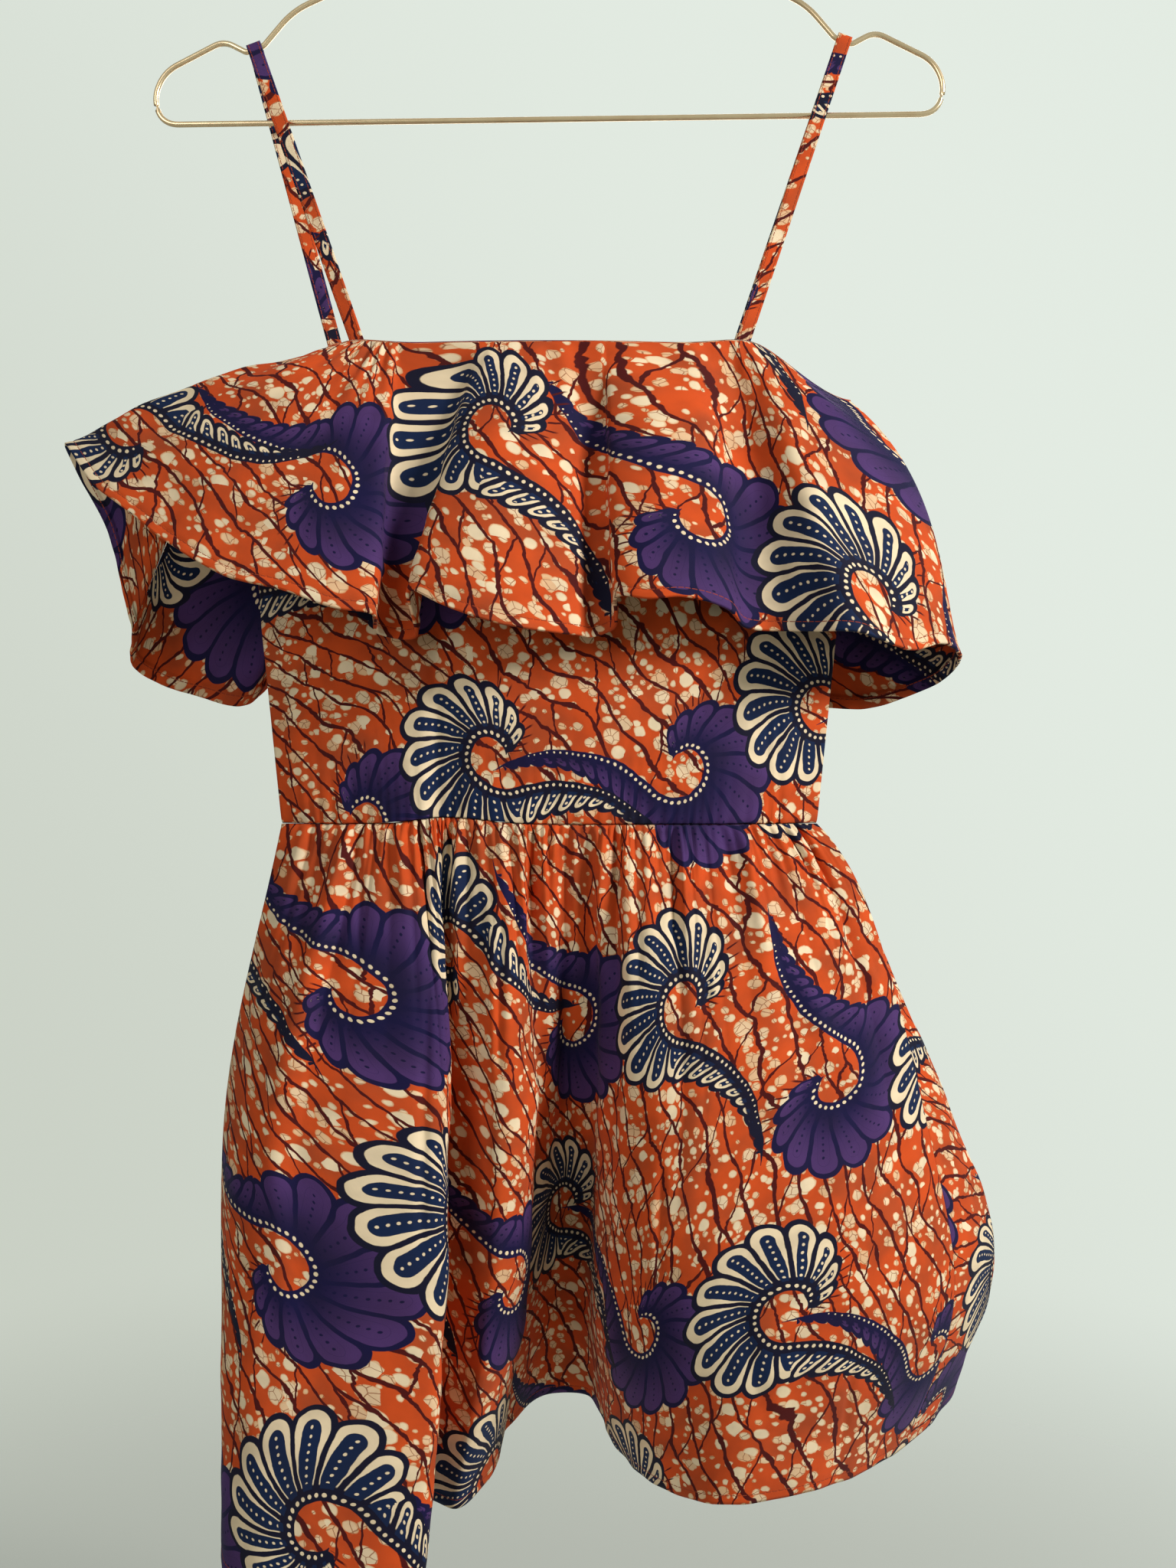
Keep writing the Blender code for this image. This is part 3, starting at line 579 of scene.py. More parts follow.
def flounce_surface(across, down, is_back):
    """Half the flounce, with small gathers at its top seam, and its top rolled over the edge."""
    fall = np.maximum(down, 0.0)
    points = flounce_base(across, fall, is_back)
    side = side_taper(across)
    swell = np.exp(-fall / 0.16) * (1 - np.exp(-fall / 0.03))
    small = ripples(across, SMALL_WAVES, 1.6, 0.17 + is_back) * swell
    large = ripples(across, LARGE_WAVES, 1.1, 0.55 + is_back) * fall * (1.3 - fall)
    u, v = flounce_flat(across, fall)
    waves = 0.0012 * cloth_noise(u, v, 0.06, 1.1 + is_back) + 0.0005 * cloth_noise(u, v, 0.026, 0.3)
    push = side * (SMALL_WAVE * small + LARGE_WAVE * large + waves * smoothstep(fall / 0.1))
    push += hem_push((1.0 - fall) * FLOUNCE_DROP, across, 0.4)
    out = normals(flounce_base, across, fall, is_back)
    points += out * push[:, None]
    over = np.clip(-down, 0.0, 1.0)[:, None] * math.pi
    radius = (WALL + SEAM_GAP + CLOTH) / 2.0
    points -= levelled(out) * radius * (1.0 - np.cos(over))
    points[:, 2:] += radius * np.sin(over)
    return points


def skirt_surface(across, down, is_back):
    """Half the skirt, with its gathers, the folds that they run into, and a few pressed creases."""
    points = skirt_base(across, down, is_back)
    place_round = skirt_round(across, is_back)
    side = side_taper(across)
    waves = sum(np.sin(2 * math.pi * count * place_round + phase) * (0.6 ** number)
                for number, (count, phase) in enumerate(zip(FOLD_COUNTS, FOLD_PHASES)))
    swell = (1.0 - np.exp(-down / FOLD_START)) * np.exp(-down / FOLD_FADE)
    gather = ridges(place_round, GATHERS, 1.4, 0.23)
    middling = ridges(place_round, RIDGES, 2.1, 0.71)
    ripple = ripples(place_round, RIPPLES, 1.5, 0.4)
    uneven = 0.75 + 0.45 * ripples(place_round, 19, 1.2, 0.9)
    push = FOLD_DEPTH * waves * swell
    at_seam = 0.55 + 0.45 * smoothstep(down / 0.012)
    push += GATHER_DEPTH * gather * uneven * np.exp(-down / GATHER_FADE) * at_seam
    push += RIDGE_DEPTH * middling * uneven * np.exp(-down / RIDGE_FADE) * (1 - np.exp(-down / 0.02))
    push += RIPPLE_DEPTH * ripple * np.exp(-down / RIPPLE_FADE) * smoothstep(down / 0.2)
    u, v = skirt_flat(across, down, is_back)
    push += (0.0016 * cloth_noise(u, v, 0.11, 0.8 + is_back)
             + 0.0007 * cloth_noise(u, v, 0.042, 1.7)) * smoothstep(down / 0.15)
    if not is_back:
        push += sum(crease_push(points[:, 0], points[:, 2], crease) for crease in SKIRT_CREASES)
    push += hem_push((1.0 - down) * SKIRT_LENGTH, place_round, 0.1)
    push -= 0.0011 * np.exp(-down * SKIRT_LENGTH / 0.0011)
    out = levelled(normals(skirt_base, across, down, is_back))
    points += out * (side * push)[:, None]
    return points


def bodice_flat(across, down, is_back):
    """Places on the flat cloth of a bodice panel, in metres."""
    return 2.0 * TOP_HALF_WIDTH * across, (WAIST_Z - TOP_FRONT_Z) * down + 0.30


def flounce_flat(across, down, _=False):
    """Places on the flat cloth of half the flounce, cut as part of a ring."""
    turn = (across - 0.5) * FLOUNCE_TURN
    radius = FLOUNCE_INNER_RADIUS + FLOUNCE_DROP * down
    return 0.30 + radius * np.sin(turn), 0.40 - radius * np.cos(turn)


def skirt_flat(across, down, is_back):
    """Places on the flat cloth of half the skirt; near the waist the gathers hide some of its width."""
    share = SKIRT_KNOTS[SKIRT_SEAM]
    width = SKIRT_HEM * ((1.0 - share) if is_back else share)
    shown = GATHER_SHOWS + (1.0 - GATHER_SHOWS) * smoothstep(down / 0.75)
    return 0.3 + width * shown * (across - 0.5), 0.40 - SKIRT_LENGTH * down


def in_scene(name, data, material=None):
    """Adds an object with its data to the scene."""
    if material:
        data.materials.append(material)
    item = bpy.data.objects.new(name, data)
    bpy.context.scene.collection.objects.link(item)
    return item


def finished(name, mesh, material):
    """Makes a bmesh an object with smooth faces."""
    for face in mesh.faces:
        face.smooth = True
    data = bpy.data.meshes.new(name)
    mesh.to_mesh(data)
    mesh.free()
    return in_scene(name, data, material)


def rows_between(*stretches):
    """Shares down a panel: each stretch is its start, its end and how many steps it takes."""
    rows = [np.linspace(start, end, steps, endpoint=False) for start, end, steps in stretches]
    return np.concatenate([*rows, [stretches[-1][1]]])


# What a panel's grid is made from; drop is the way down to its hem and run the way along it
Panel = namedtuple("Panel", "surface flat columns rows drop run")
PANELS = {
    "bodice": Panel(bodice_surface, bodice_flat, 220,
                    rows_between((0.0, 0.96, 84), (0.96, 1.0, 12)), NO_HEM, 1.0),
    "flounce": Panel(flounce_surface, flounce_flat, 460,
                     rows_between((-1.0, 0.0, 7), (0.0, 0.08, 8), (0.08, 0.95, 70), (0.95, 1.0, 8)),
                     FLOUNCE_DROP, 0.627),
    "skirt": Panel(skirt_surface, skirt_flat, 440,
                   rows_between((0.0, 0.03, 10), (0.03, 0.20, 24), (0.20, 0.97, 64), (0.97, 1.0, 6)),
                   SKIRT_LENGTH, 0.635),
}

# Where on the printed cloth a panel is cut: x and y in metres and its turn in radians
CUTS = {
    ("bodice", "front"): (0.31, 0.12, 0.25),
    ("bodice", "back"): (0.90, 0.55, 0.10),
    ("flounce", "front"): (1.43, 0.21, 0.40),
    ("flounce", "back"): (2.37, 1.10, 0.00),
    ("skirt", "front"): (0.05, 2.02, 0.55),
    ("skirt", "back"): (1.21, 3.33, -0.30),
    ("strap", "left"): (0.10, 0.77, 0.35),
    ("strap", "right"): (0.70, 0.77, 0.35),
}


def cloth_panel(name, panel, is_back, material):
    """A fine grid laid on the surface as its outer face, with the cloth's thickness inside it."""
    mesh = bmesh.new()
    bmesh.ops.create_grid(mesh, x_segments=panel.columns, y_segments=len(panel.rows) - 1, size=0.5)
    grid = np.array([vert.co for vert in mesh.verts])
    across = grid[:, 0] + 0.5
    down = np.interp(0.5 - grid[:, 1], np.linspace(0.0, 1.0, len(panel.rows)), panel.rows)
    for vert, point in zip(mesh.verts, panel.surface(across, down, is_back)):
        vert.co = point
    from_hem = (1.0 - down) * panel.drop
    places = {"cloth": np.column_stack(panel.flat(across, down, is_back)),
              "edge": np.column_stack([across * panel.run, from_hem])}
    for label, spots in places.items():
        layer = mesh.loops.layers.uv.new(label)
        for face in mesh.faces:
            for loop in face.loops:
                loop[layer].uv = spots[loop.vert.index]
    item = finished(name, mesh, material)
    band = item.vertex_groups.new(name="hem")
    for index in np.flatnonzero(from_hem < HEM_WIDTH):
        band.add([int(index)], 1.0, "REPLACE")
    wall = item.modifiers.new("wall", "SOLIDIFY")
    wall.thickness = HEM_CLOTH
    wall.offset = -1.0
    wall.vertex_group = band.name
    wall.thickness_vertex_group = CLOTH / HEM_CLOTH
    return item


def hung(x, z):
    """A point of the hanger, which hangs a little lower at its left end."""
    return Vector((x, 0.0, z + HANG_TILT * x))


def rounded(corners, steps=10):
    """Points along a line with each corner rounded off to its radius."""
    points = []
    for before, corner, after in zip(corners, corners[1:], corners[2:]):
        here = Vector((corner.x, corner.z))
        to_before = (Vector((before.x, before.z)) - here).normalized() * corner.radius
        to_after = (Vector((after.x, after.z)) - here).normalized() * corner.radius
        for step in range(steps + 1):
            t = step / steps
            points.append(here + to_before * (1 - t) ** 2 + to_after * t ** 2)
    return [(point.x, point.y) for point in points]


def wire(name, points, material, cyclic):
    curve = bpy.data.curves.new(name, "CURVE")
    curve.dimensions = "3D"
    curve.bevel_depth = WIRE_RADIUS
    curve.bevel_resolution = 6
    curve.use_fill_caps = not cyclic
    spline = curve.splines.new("POLY")
    spline.points.add(len(points) - 1)
    for spot, point in zip(spline.points, points):
        spot.co = (*point, 1.0)
    spline.use_smooth = True
    spline.use_cyclic_u = cyclic
    return in_scene(name, curve, material)


def frame_wire(material):
    first, last = WIRE_CORNERS[0], WIRE_CORNERS[-1]
    right = rounded((first._replace(x=-first.x), *WIRE_CORNERS, last._replace(x=-last.x)))
    left = [(-x, z) for x, z in reversed(right)]
    return wire("frame_wire", [hung(x, z) for x, z in right + left], material, True)


def hook_wire(material):
    radius = HOOK_INNER_RADIUS + WIRE_RADIUS
    angles = np.radians(np.linspace(HOOK_TIP_ANGLE, HOOK_FOOT_ANGLE, 61))
    bend = [(radius * math.cos(a), radius * math.sin(a) - HOOK_INNER_RADIUS) for a in angles]
    foot_x, foot_z = bend[-1]
    corner_z = foot_z - foot_x * 0.55
    for step in range(1, 16):
        t = step / 15
        x = foot_x * (1 - t) ** 2
        z = foot_z * (1 - t) ** 2 + corner_z * 2 * t * (1 - t) + (corner_z - 0.004) * t ** 2
        bend.append((x, z))
    bend.append((0.0, SHANK_END_Z))
    return wire("hook_wire", [hung(x, z) for x, z in bend], material, False)


def neck_collar(material):
    """The pressed sleeve that joins the hook to the frame, with rolled ends."""
    half = (COLLAR_TOP_Z - COLLAR_BASE_Z) / 2.0
    mesh = bmesh.new()
    bmesh.ops.create_cone(mesh, cap_ends=True, segments=48, radius1=COLLAR_RADIUS,
                          radius2=COLLAR_RADIUS, depth=2.0 * half)
    ends = [edge for edge in mesh.edges if abs(edge.verts[0].co.z - edge.verts[1].co.z) < 1e-6]
    bmesh.ops.bevel(mesh, geom=ends, offset=0.0009, segments=5, affect="EDGES", profile=0.5, material=-1)
    bmesh.ops.translate(mesh, verts=mesh.verts, vec=hung(0.0, (COLLAR_TOP_Z + COLLAR_BASE_Z) / 2.0))
    return finished("neck_collar", mesh, material)


def wall_frame(x, height, is_back):
    """A point just inside the body's wall, and the level direction along the wall there."""
    share = np.array([0.25 + x / (4.0 * TOP_HALF_WIDTH)])
    share = 1.0 - share if is_back else share
    reach = 0.004 / (4.0 * TOP_HALF_WIDTH)
    spots = [body_ring(share + move, np.array([height]), is_back) for move in (-reach, 0.0, reach)]
    inside = WALL + 2.0 * SEAM_GAP
    points = [Vector((spot[0][0], spot[1][0] + (-inside if is_back else inside), height))
              for spot in spots]
    along = (points[2] - points[0]).normalized()
    return points[1], -along if is_back else along


def seat_height():
    """Height of the wire's middle where a strap lies, before the hanger's tilt."""
    inner, outer = WIRE_CORNERS[2], WIRE_CORNERS[3]
    return inner.z + (outer.z - inner.z) * (SEAT_X - inner.x) / (outer.x - inner.x)


def strap_frames(sign, front_x, back_x):
    """Places along a strap's outer face with its width's direction, front to back."""
    seat = hung(sign * SEAT_X, seat_height())
    width = Vector((1.0, 0.0, -sign * SEAT_SLOPE)).normalized()
    up = Vector((-width.z, 0.0, width.x))
    radius = WIRE_RADIUS + SEAM_GAP + STRAP_THICK
    over = [seat + up * (radius * math.sin(turn)) - Vector((0, radius * math.cos(turn), 0))
            for turn in np.radians(np.linspace(0.0, 180.0, 17))]
    legs = []
    for x, is_back, end in ((front_x, False, over[0]), (back_x, True, over[-1])):
        top = TOP_BACK_Z if is_back else TOP_FRONT_Z
        tail, tail_width = wall_frame(x, top - STRAP_TAIL, is_back)
        edge, edge_width = wall_frame(x, top, is_back)
        leg = [(tail, tail_width), (edge, edge_width)]
        for step in range(1, 60):
            t = step / 60
            leg.append((edge.lerp(end, t), edge_width.lerp(width, t).normalized()))
        legs.append(leg)
    return legs[0] + [(point, width) for point in over] + legs[1][::-1]


def strap(name, sign, front_x, back_x, material):
    """A narrow folded band, stitched along both edges, over the wire and down again."""
    frames = strap_frames(sign, front_x, back_x)
    places = [Vector(point) for point, _ in frames]
    lengths = np.concatenate([[0.0], np.cumsum([(b - a).length for a, b in zip(places, places[1:])])])

    def surface(across, down, _):
        rows = np.clip(np.rint(down * (len(frames) - 1)).astype(int), 0, len(frames) - 1)
        points = [frames[row][0] + frames[row][1] * ((share - 0.5) * STRAP_WIDTH)
                  for share, row in zip(1.0 - across, rows)]
        return np.array(points)

    def flat(across, down, _):
        return across * STRAP_WIDTH, np.interp(down, shares, lengths)

    shares = np.linspace(0, 1, len(frames))
    item = cloth_panel(name, Panel(surface, flat, 8, shares, NO_HEM, STRAP_WIDTH), False, material)
    item.modifiers["wall"].thickness = STRAP_THICK
    item.modifiers["wall"].thickness_vertex_group = 1.0
    return item


class Term:
    """A number in a shader, which is added, scaled and compared like any other."""

    def __init__(self, tree, socket):
        self.tree = tree
        self.socket = socket

    def math(self, operation, *others):
        return operate(self.tree, operation, self, *others)

    def __add__(self, other):
        return self.math("ADD", other)

    __radd__ = __add__

    def __sub__(self, other):
        return self.math("SUBTRACT", other)

    def __rsub__(self, other):
        return operate(self.tree, "SUBTRACT", other, self)

    def __mul__(self, other):
        return self.math("MULTIPLY", other)

    __rmul__ = __mul__

    def __truediv__(self, other):
        return self.math("DIVIDE", other)

    def __abs__(self):
        return self.math("ABSOLUTE")

    def fract(self):
        return self.math("FRACT")

    def floor(self):
        return self.math("FLOOR")

    def above(self, limit, soft=0.0):
        """1 where the number is over limit, with an edge that is soft wide, and 0 elsewhere."""
        if not soft:
            return self.math("GREATER_THAN", limit)
        return (self - limit).spread(-soft / 2.0, soft / 2.0)

    def below(self, limit, soft=0.0):
        return 1.0 - self.above(limit, soft)

    def spread(self, low, high):
        """0 up to low and 1 from high, with a smooth rise between them."""
        node = self.tree.nodes.new("ShaderNodeMapRange")
        node.interpolation_type = "SMOOTHSTEP"
        feed(self.tree, node.inputs["Value"], self)
        feed(self.tree, node.inputs["From Min"], low)
        feed(self.tree, node.inputs["From Max"], high)
        return Term(self.tree, node.outputs["Result"])


def feed(tree, slot, value):
    if isinstance(value, Term):
        tree.links.new(value.socket, slot)
    elif isinstance(value, bpy.types.NodeSocket):
        tree.links.new(value, slot)
    elif isinstance(value, tuple) and slot.type == "RGBA":
        slot.default_value = (*value, 1.0)
    else:
        slot.default_value = value


def operate(tree, operation, *values):
    node = tree.nodes.new("ShaderNodeMath")
    node.operation = operation
    for slot, value in zip(node.inputs, values):
        feed(tree, slot, value)
    return Term(tree, node.outputs[0])


def node_with(tree, kind, settings=(), **sockets):
    """A shader node with its settings and the values or links of its sockets."""
    node = tree.nodes.new("ShaderNode" + kind)
    for name, value in dict(settings).items():
        setattr(node, name, value)
    for name, value in sockets.items():
        feed(tree, node.inputs[name.replace("_", " ")], value)
    return node


def blend(tree, share, first, second):
    """first where share is 0 and second where it is 1."""
    node = tree.nodes.new("ShaderNodeMix")
    node.data_type = "RGBA"
    feed(tree, node.inputs[0], share)
    feed(tree, node.inputs[6], first)
    feed(tree, node.inputs[7], second)
    return node.outputs[2]


def point_of(tree, x, y, z=0.0):
    return node_with(tree, "CombineXYZ", X=x, Y=y, Z=z).outputs[0]


def parts_of(tree, vector):
    node = node_with(tree, "SeparateXYZ", Vector=vector)
    return Term(tree, node.outputs[0]), Term(tree, node.outputs[1])


def chance(tree, dimensions, **sockets):
    """White noise: one number or colour for each whole place."""
    return node_with(tree, "TexWhiteNoise", {"noise_dimensions": dimensions}, **sockets).outputs


def channels(tree, colour):
    node = node_with(tree, "SeparateColor", Color=colour)
    return [Term(tree, output) for output in node.outputs]


def noise(tree, vector, scale, detail=2.0):
    node = node_with(tree, "TexNoise", Vector=vector, Scale=scale, Detail=detail)
    return Term(tree, node.outputs[0]), node.outputs[1]


def cells(tree, vector, scale, feature="F1"):
    """Distance from scattered points, or from the lines between them, in two dimensions."""
    node = node_with(tree, "TexVoronoi", {"feature": feature, "voronoi_dimensions": "2D"},
                     Vector=vector, Scale=scale)
    return Term(tree, node.outputs["Distance"]), node


def mapped(tree, vector, **settings):
    """A vector scaled, turned and moved."""
    return node_with(tree, "Mapping", Vector=vector, **settings).outputs[0]


def vector_math(tree, operation, *values):
    node = node_with(tree, "VectorMath", {"operation": operation})
    for slot, value in zip(node.inputs, values):
        feed(tree, slot, value)
    return node.outputs


def wobbled(tree, vector, size, reach):
    """Coordinates shaken by noise of that size, by up to about reach."""
    _, colour = noise(tree, vector, 1.0 / size)
    centred = vector_math(tree, "SUBTRACT", colour, (0.5, 0.5, 0.5))[0]
    return vector_math(tree, "MULTIPLY_ADD", centred, (reach, reach, 0.0), vector)[0]


def new_group(name, inputs, outputs):
    """A node group; its inputs and outputs are numbers unless they are called Vector or Color."""
    tree = bpy.data.node_groups.new(name, "ShaderNodeTree")
    kinds = {"Vector": "NodeSocketVector", "Color": "NodeSocketColor"}
    for way, labels in (("INPUT", inputs), ("OUTPUT", outputs)):
        for label in labels:
            kind = kinds.get(label, "NodeSocketFloat")
            tree.interface.new_socket(label, in_out=way, socket_type=kind)
    return tree, tree.nodes.new("NodeGroupInput"), tree.nodes.new("NodeGroupOutput")


def place_group(tree, group, **sockets):
    node = tree.nodes.new("ShaderNodeGroup")
    node.node_tree = group
    for name, value in sockets.items():
        feed(tree, node.inputs[name.replace("_", " ")], value)
    return node


def choose(mask, first, second):
    """first where mask is 0 and second where it is 1."""
    return first + (second - first) * mask


def bubble_layer(tree, place, colour, crackle, pitch, least, most, share):
    """Rounded cream spots, some whole and some cracked, where the wax kept the dye off."""
    distance, node = cells(tree, place, 1.0 / pitch)
    pick, tint, _ = channels(tree, node.outputs["Color"])
    radius = (pick - share) * ((most - least) / (1.0 - share)) + least
    inside = (radius - distance) * pitch
    mask = inside.above(0.0, 0.45) * pick.above(share)
    body = blend(tree, tint.spread(0.2, 1.0) * 0.55, CREAM, PEACH)
    body = blend(tree, inside.below(0.45, 0.7) * 0.6, body, PEACH)
    body = blend(tree, crackle * tint.above(0.35) * 0.85, body, BROWN)
    return blend(tree, mask, colour, body)


def vein_mask(tree, place):
    """Long wandering veins, joined here and there by slanting ones."""
    slow = wobbled(tree, place, 95.0, 60.0)
    quick = wobbled(tree, wobbled(tree, slow, 9.0, 4.6), 3.2, 1.3)
    x, y = parts_of(tree, quick)
    across, along = x * 0.42 + y * 0.91, x * 0.91 - y * 0.42
    strip = (across / VEINS_APART).floor()
    in_strip = (across / VEINS_APART).fract()
    luck = Term(tree, chance(tree, "1D", W=strip)["Value"])
    cross = ((along + in_strip * VEINS_APART * 1.1) / VEIN_JOINTS + luck * 7.0).fract()
    to_main = (0.5 - abs(in_strip - 0.5)) * VEINS_APART
    to_cross = (0.5 - abs(cross - 0.5)) * VEIN_JOINTS
    swell, _ = noise(tree, place, 1 / 9.0, 0.0)
    return to_main.math("MINIMUM", to_cross * 1.1).below(swell * 0.75 + 0.55, 0.35)


def wax_ground_group():
    """Orange ground with cream bubbles, crackle and wandering veins. Its vector is in millimetres."""
    tree, given, made = new_group("wax ground", ["Vector"], ["Color"])
    place = given.outputs[0]
    patches, _ = noise(tree, place, 1 / 38.0, 2.0)
    colour = blend(tree, patches.spread(0.44, 0.66) * 0.75, ORANGE, RUST)
    swept = mapped(tree, wobbled(tree, place, 90.0, 14.0), Rotation=(0.0, 0.0, 0.6),
                   Scale=(0.86, 1.08, 1.0))
    loose = wobbled(tree, swept, 5.0, 2.0)
    lines, _ = cells(tree, loose, 1 / 4.2, "DISTANCE_TO_EDGE")
    crackle = (lines * 4.2).below(0.16, 0.22)
    for layer in SPOT_LAYERS:
        colour = bubble_layer(tree, loose, colour, crackle, *layer)
    feed(tree, made.inputs[0], blend(tree, vein_mask(tree, place), colour, MAROON))
    return tree


def in_half_drop(tree, place, width, height, seed, lean):
    """Place inside its own cell of a half-drop repeat, turned and mirrored by chance."""
    x, y = parts_of(tree, place)
    column = (x / width).floor()
    dropped = y + (column * 0.5).fract() * height
    row = (dropped / height).floor()
    local = point_of(tree, x - (column + 0.5) * width, dropped - (row + 0.5) * height)
    luck = chance(tree, "3D", Vector=point_of(tree, column, row, seed))["Color"]
    sway, mirror, _ = channels(tree, luck)
    turned = node_with(tree, "VectorRotate", {"rotation_type": "Z_AXIS"}, Vector=local,
                       Angle=lean + (sway - 0.5) * SWAY).outputs[0]
    turned_x, turned_y = parts_of(tree, turned)
    return turned_x, turned_y * (mirror.above(0.5) * 2.0 - 1.0)


def length_of(x, y):
    return (x * x + y * y).math("SQRT")


def tail_arc(x, y):
    """Height over the plume's tail and the way along it.

    The tail is an arc that bends the other way, from the end of the curl.
    """
    end_radius = CURL_START * math.exp(CURL_GROWTH * CURL_TURN)
    end_angle = CURL_TURN - math.pi
    heading = end_angle + math.pi / 2.0 - math.atan(CURL_GROWTH)
    out_x, out_y = math.sin(heading), -math.cos(heading)
    centre_x = end_radius * math.cos(end_angle) + TAIL_BEND * out_x
    centre_y = end_radius * math.sin(end_angle) + TAIL_BEND * out_y
    from_x, from_y = x - centre_x, y - centre_y
    turn = math.atan2(-out_y, -out_x) - from_y.math("ARCTAN2", from_x)
    return TAIL_BEND - length_of(from_x, from_y), turn * TAIL_BEND


def petal_lengths(theta):
    """Lengths of the petals round the curl, from its inner end; they grow and shrink again."""
    long_ones = theta.spread(0.1, 3.0) * (1.0 - theta.spread(4.1, 6.1)) * PETAL_LENGTH
    return long_ones + theta.spread(0.0, 0.8) * (1.0 - theta.spread(4.6, 6.1)) * INNER_PETAL


def dots_along(walk, aside, pitch):
    """Distance to the nearest of a row of dots."""
    return length_of(aside, (walk / pitch).fract() * pitch - pitch / 2.0)


def plume_group():
    """Curled plumes in a half-drop repeat, one to a cell: a fan of petals on the outside of a spiral
    quill, whose tail swings out of the curl and tapers off.

    Millimetres. It puts out masks: the whole plume, the rim and heart of its petals, its dots
    and the hairs at its inner end, and the share along a petal.
    """
    tree, given, made = new_group("curled plumes",
                                  ["Vector", "Width", "Height", "Seed", "Size", "Turn"],
                                  ["Plume", "Rim", "Heart", "Dots", "Hairs", "Along"])
    width, height, seed, size, lean = (Term(tree, given.outputs[k]) for k in (1, 2, 3, 4, 5))
    cell_x, cell_y = in_half_drop(tree, given.outputs[0], width, height, seed, lean)
    x, y = cell_x / size - PLUME_MIDDLE[0], cell_y / size - PLUME_MIDDLE[1]

    # the curl
    reach = length_of(x, y)
    theta = y.math("ARCTAN2", x) + math.pi
    quill = (theta * CURL_GROWTH).math("EXPONENT") * CURL_START
    head_length = petal_lengths(theta)

    # the tail
    tail_rise, tail_walk = tail_arc(x, y)
    share = tail_walk / TAIL_RUN
    left = (1.0 - share).math("MAXIMUM", 0.01)
    tail_length = left * TAIL_PETAL
    crowded = 1.0 - share * TAIL_CROWDING
    pitch = crowded * TAIL_PITCH
    near_tail = tail_rise.above(-3.0) * (tail_rise - tail_length).below(1.6)
    in_tail = share.above(0.0) * share.below(1.0) * near_tail

    # one petal: its place in the row, its half width at the tip, and the way in from its edge
    rise = choose(in_tail, reach - quill, tail_rise)
    length = choose(in_tail, head_length, tail_length)
    petals_per_run = -TAIL_RUN / TAIL_PITCH / TAIL_CROWDING
    tail_count = crowded.math("MAXIMUM", 0.05).math("LOGARITHM", math.e) * petals_per_run
    head_count = theta * PETALS_PER_RADIAN - rise * 0.016
    count = choose(in_tail, head_count, tail_count + tail_rise * 0.75 / pitch)
    step = choose(in_tail, reach / PETALS_PER_RADIAN, pitch * 0.80)
    lateral = abs(count.fract() - 0.5) * step
    end_half = choose(in_tail, (quill + length) / PETALS_PER_RADIAN, pitch * 0.80) * 0.46
    tip = end_half.math("MINIMUM", length * 0.5)
    past = (rise - length + tip).math("MAXIMUM", 0.0)
    inside = (step * 0.5).math("MINIMUM", tip) - length_of(lateral, past)
    along = rise / length.math("MAXIMUM", 1.0)

    # the quill and the petals' rims and hearts
    quill_half = choose(in_tail, theta.spread(-0.2, 1.2) * QUILL_HALF, left.math("POWER", 0.6) * QUILL_HALF)
    on_head = theta.above(0.03) * theta.below(CURL_TURN + 0.02)
    on_quill = (quill_half - abs(rise)).above(0.0, 0.3) * on_head.math("MAXIMUM", in_tail)
    petal = inside.above(-1.4, 0.3) * rise.above(0.0) * length.above(1.2)
    band = (along.spread(0.2, 0.95) * 3.3 + 0.55).math("MINIMUM", end_half * 0.42)
    past_edge = inside - (end_half * 0.22).math("MINIMUM", 1.1)
    within_band = (past_edge - band).below(0.0, 0.3)
    in_rim = past_edge.above(0.0, 0.3) * within_band * rise.above(4.2, 0.8) * petal
    heart = (past_edge - band).above(0.0, 0.3) * rise.above(2.6, 0.3) * petal

    # the dots and hairs
    petal_dot = dots_along(rise, lateral, PETAL_DOTS)
    petal_dots = petal_dot.below(0.62, 0.3) * heart * along.above(0.14) * along.below(0.80)
    walk = choose(in_tail, quill * (math.sqrt(1.0 + CURL_GROWTH ** 2) / CURL_GROWTH), tail_walk)
    quill_dot = dots_along(walk, rise, QUILL_DOTS) / quill_half.math("MINIMUM", QUILL_HALF)
    quill_dots = quill_dot.below(0.36, 0.12) * on_quill * quill_half.above(1.0)
    strand = abs((theta / HAIR_PITCH + rise * 0.03).fract() - 0.5) * HAIR_PITCH * reach
    beyond = rise - length
    hairs = (strand.below(0.42, 0.3) * beyond.above(0.5, 0.5) * beyond.below(6.5, 3.0)
             * theta.above(0.1) * theta.below(1.5) * (1.0 - in_tail))
    results = (on_quill.math("MAXIMUM", petal), in_rim, heart,
               petal_dots.math("MAXIMUM", quill_dots), hairs, along)
    for slot, value in zip(made.inputs, results):
        feed(tree, slot, value)
    return tree


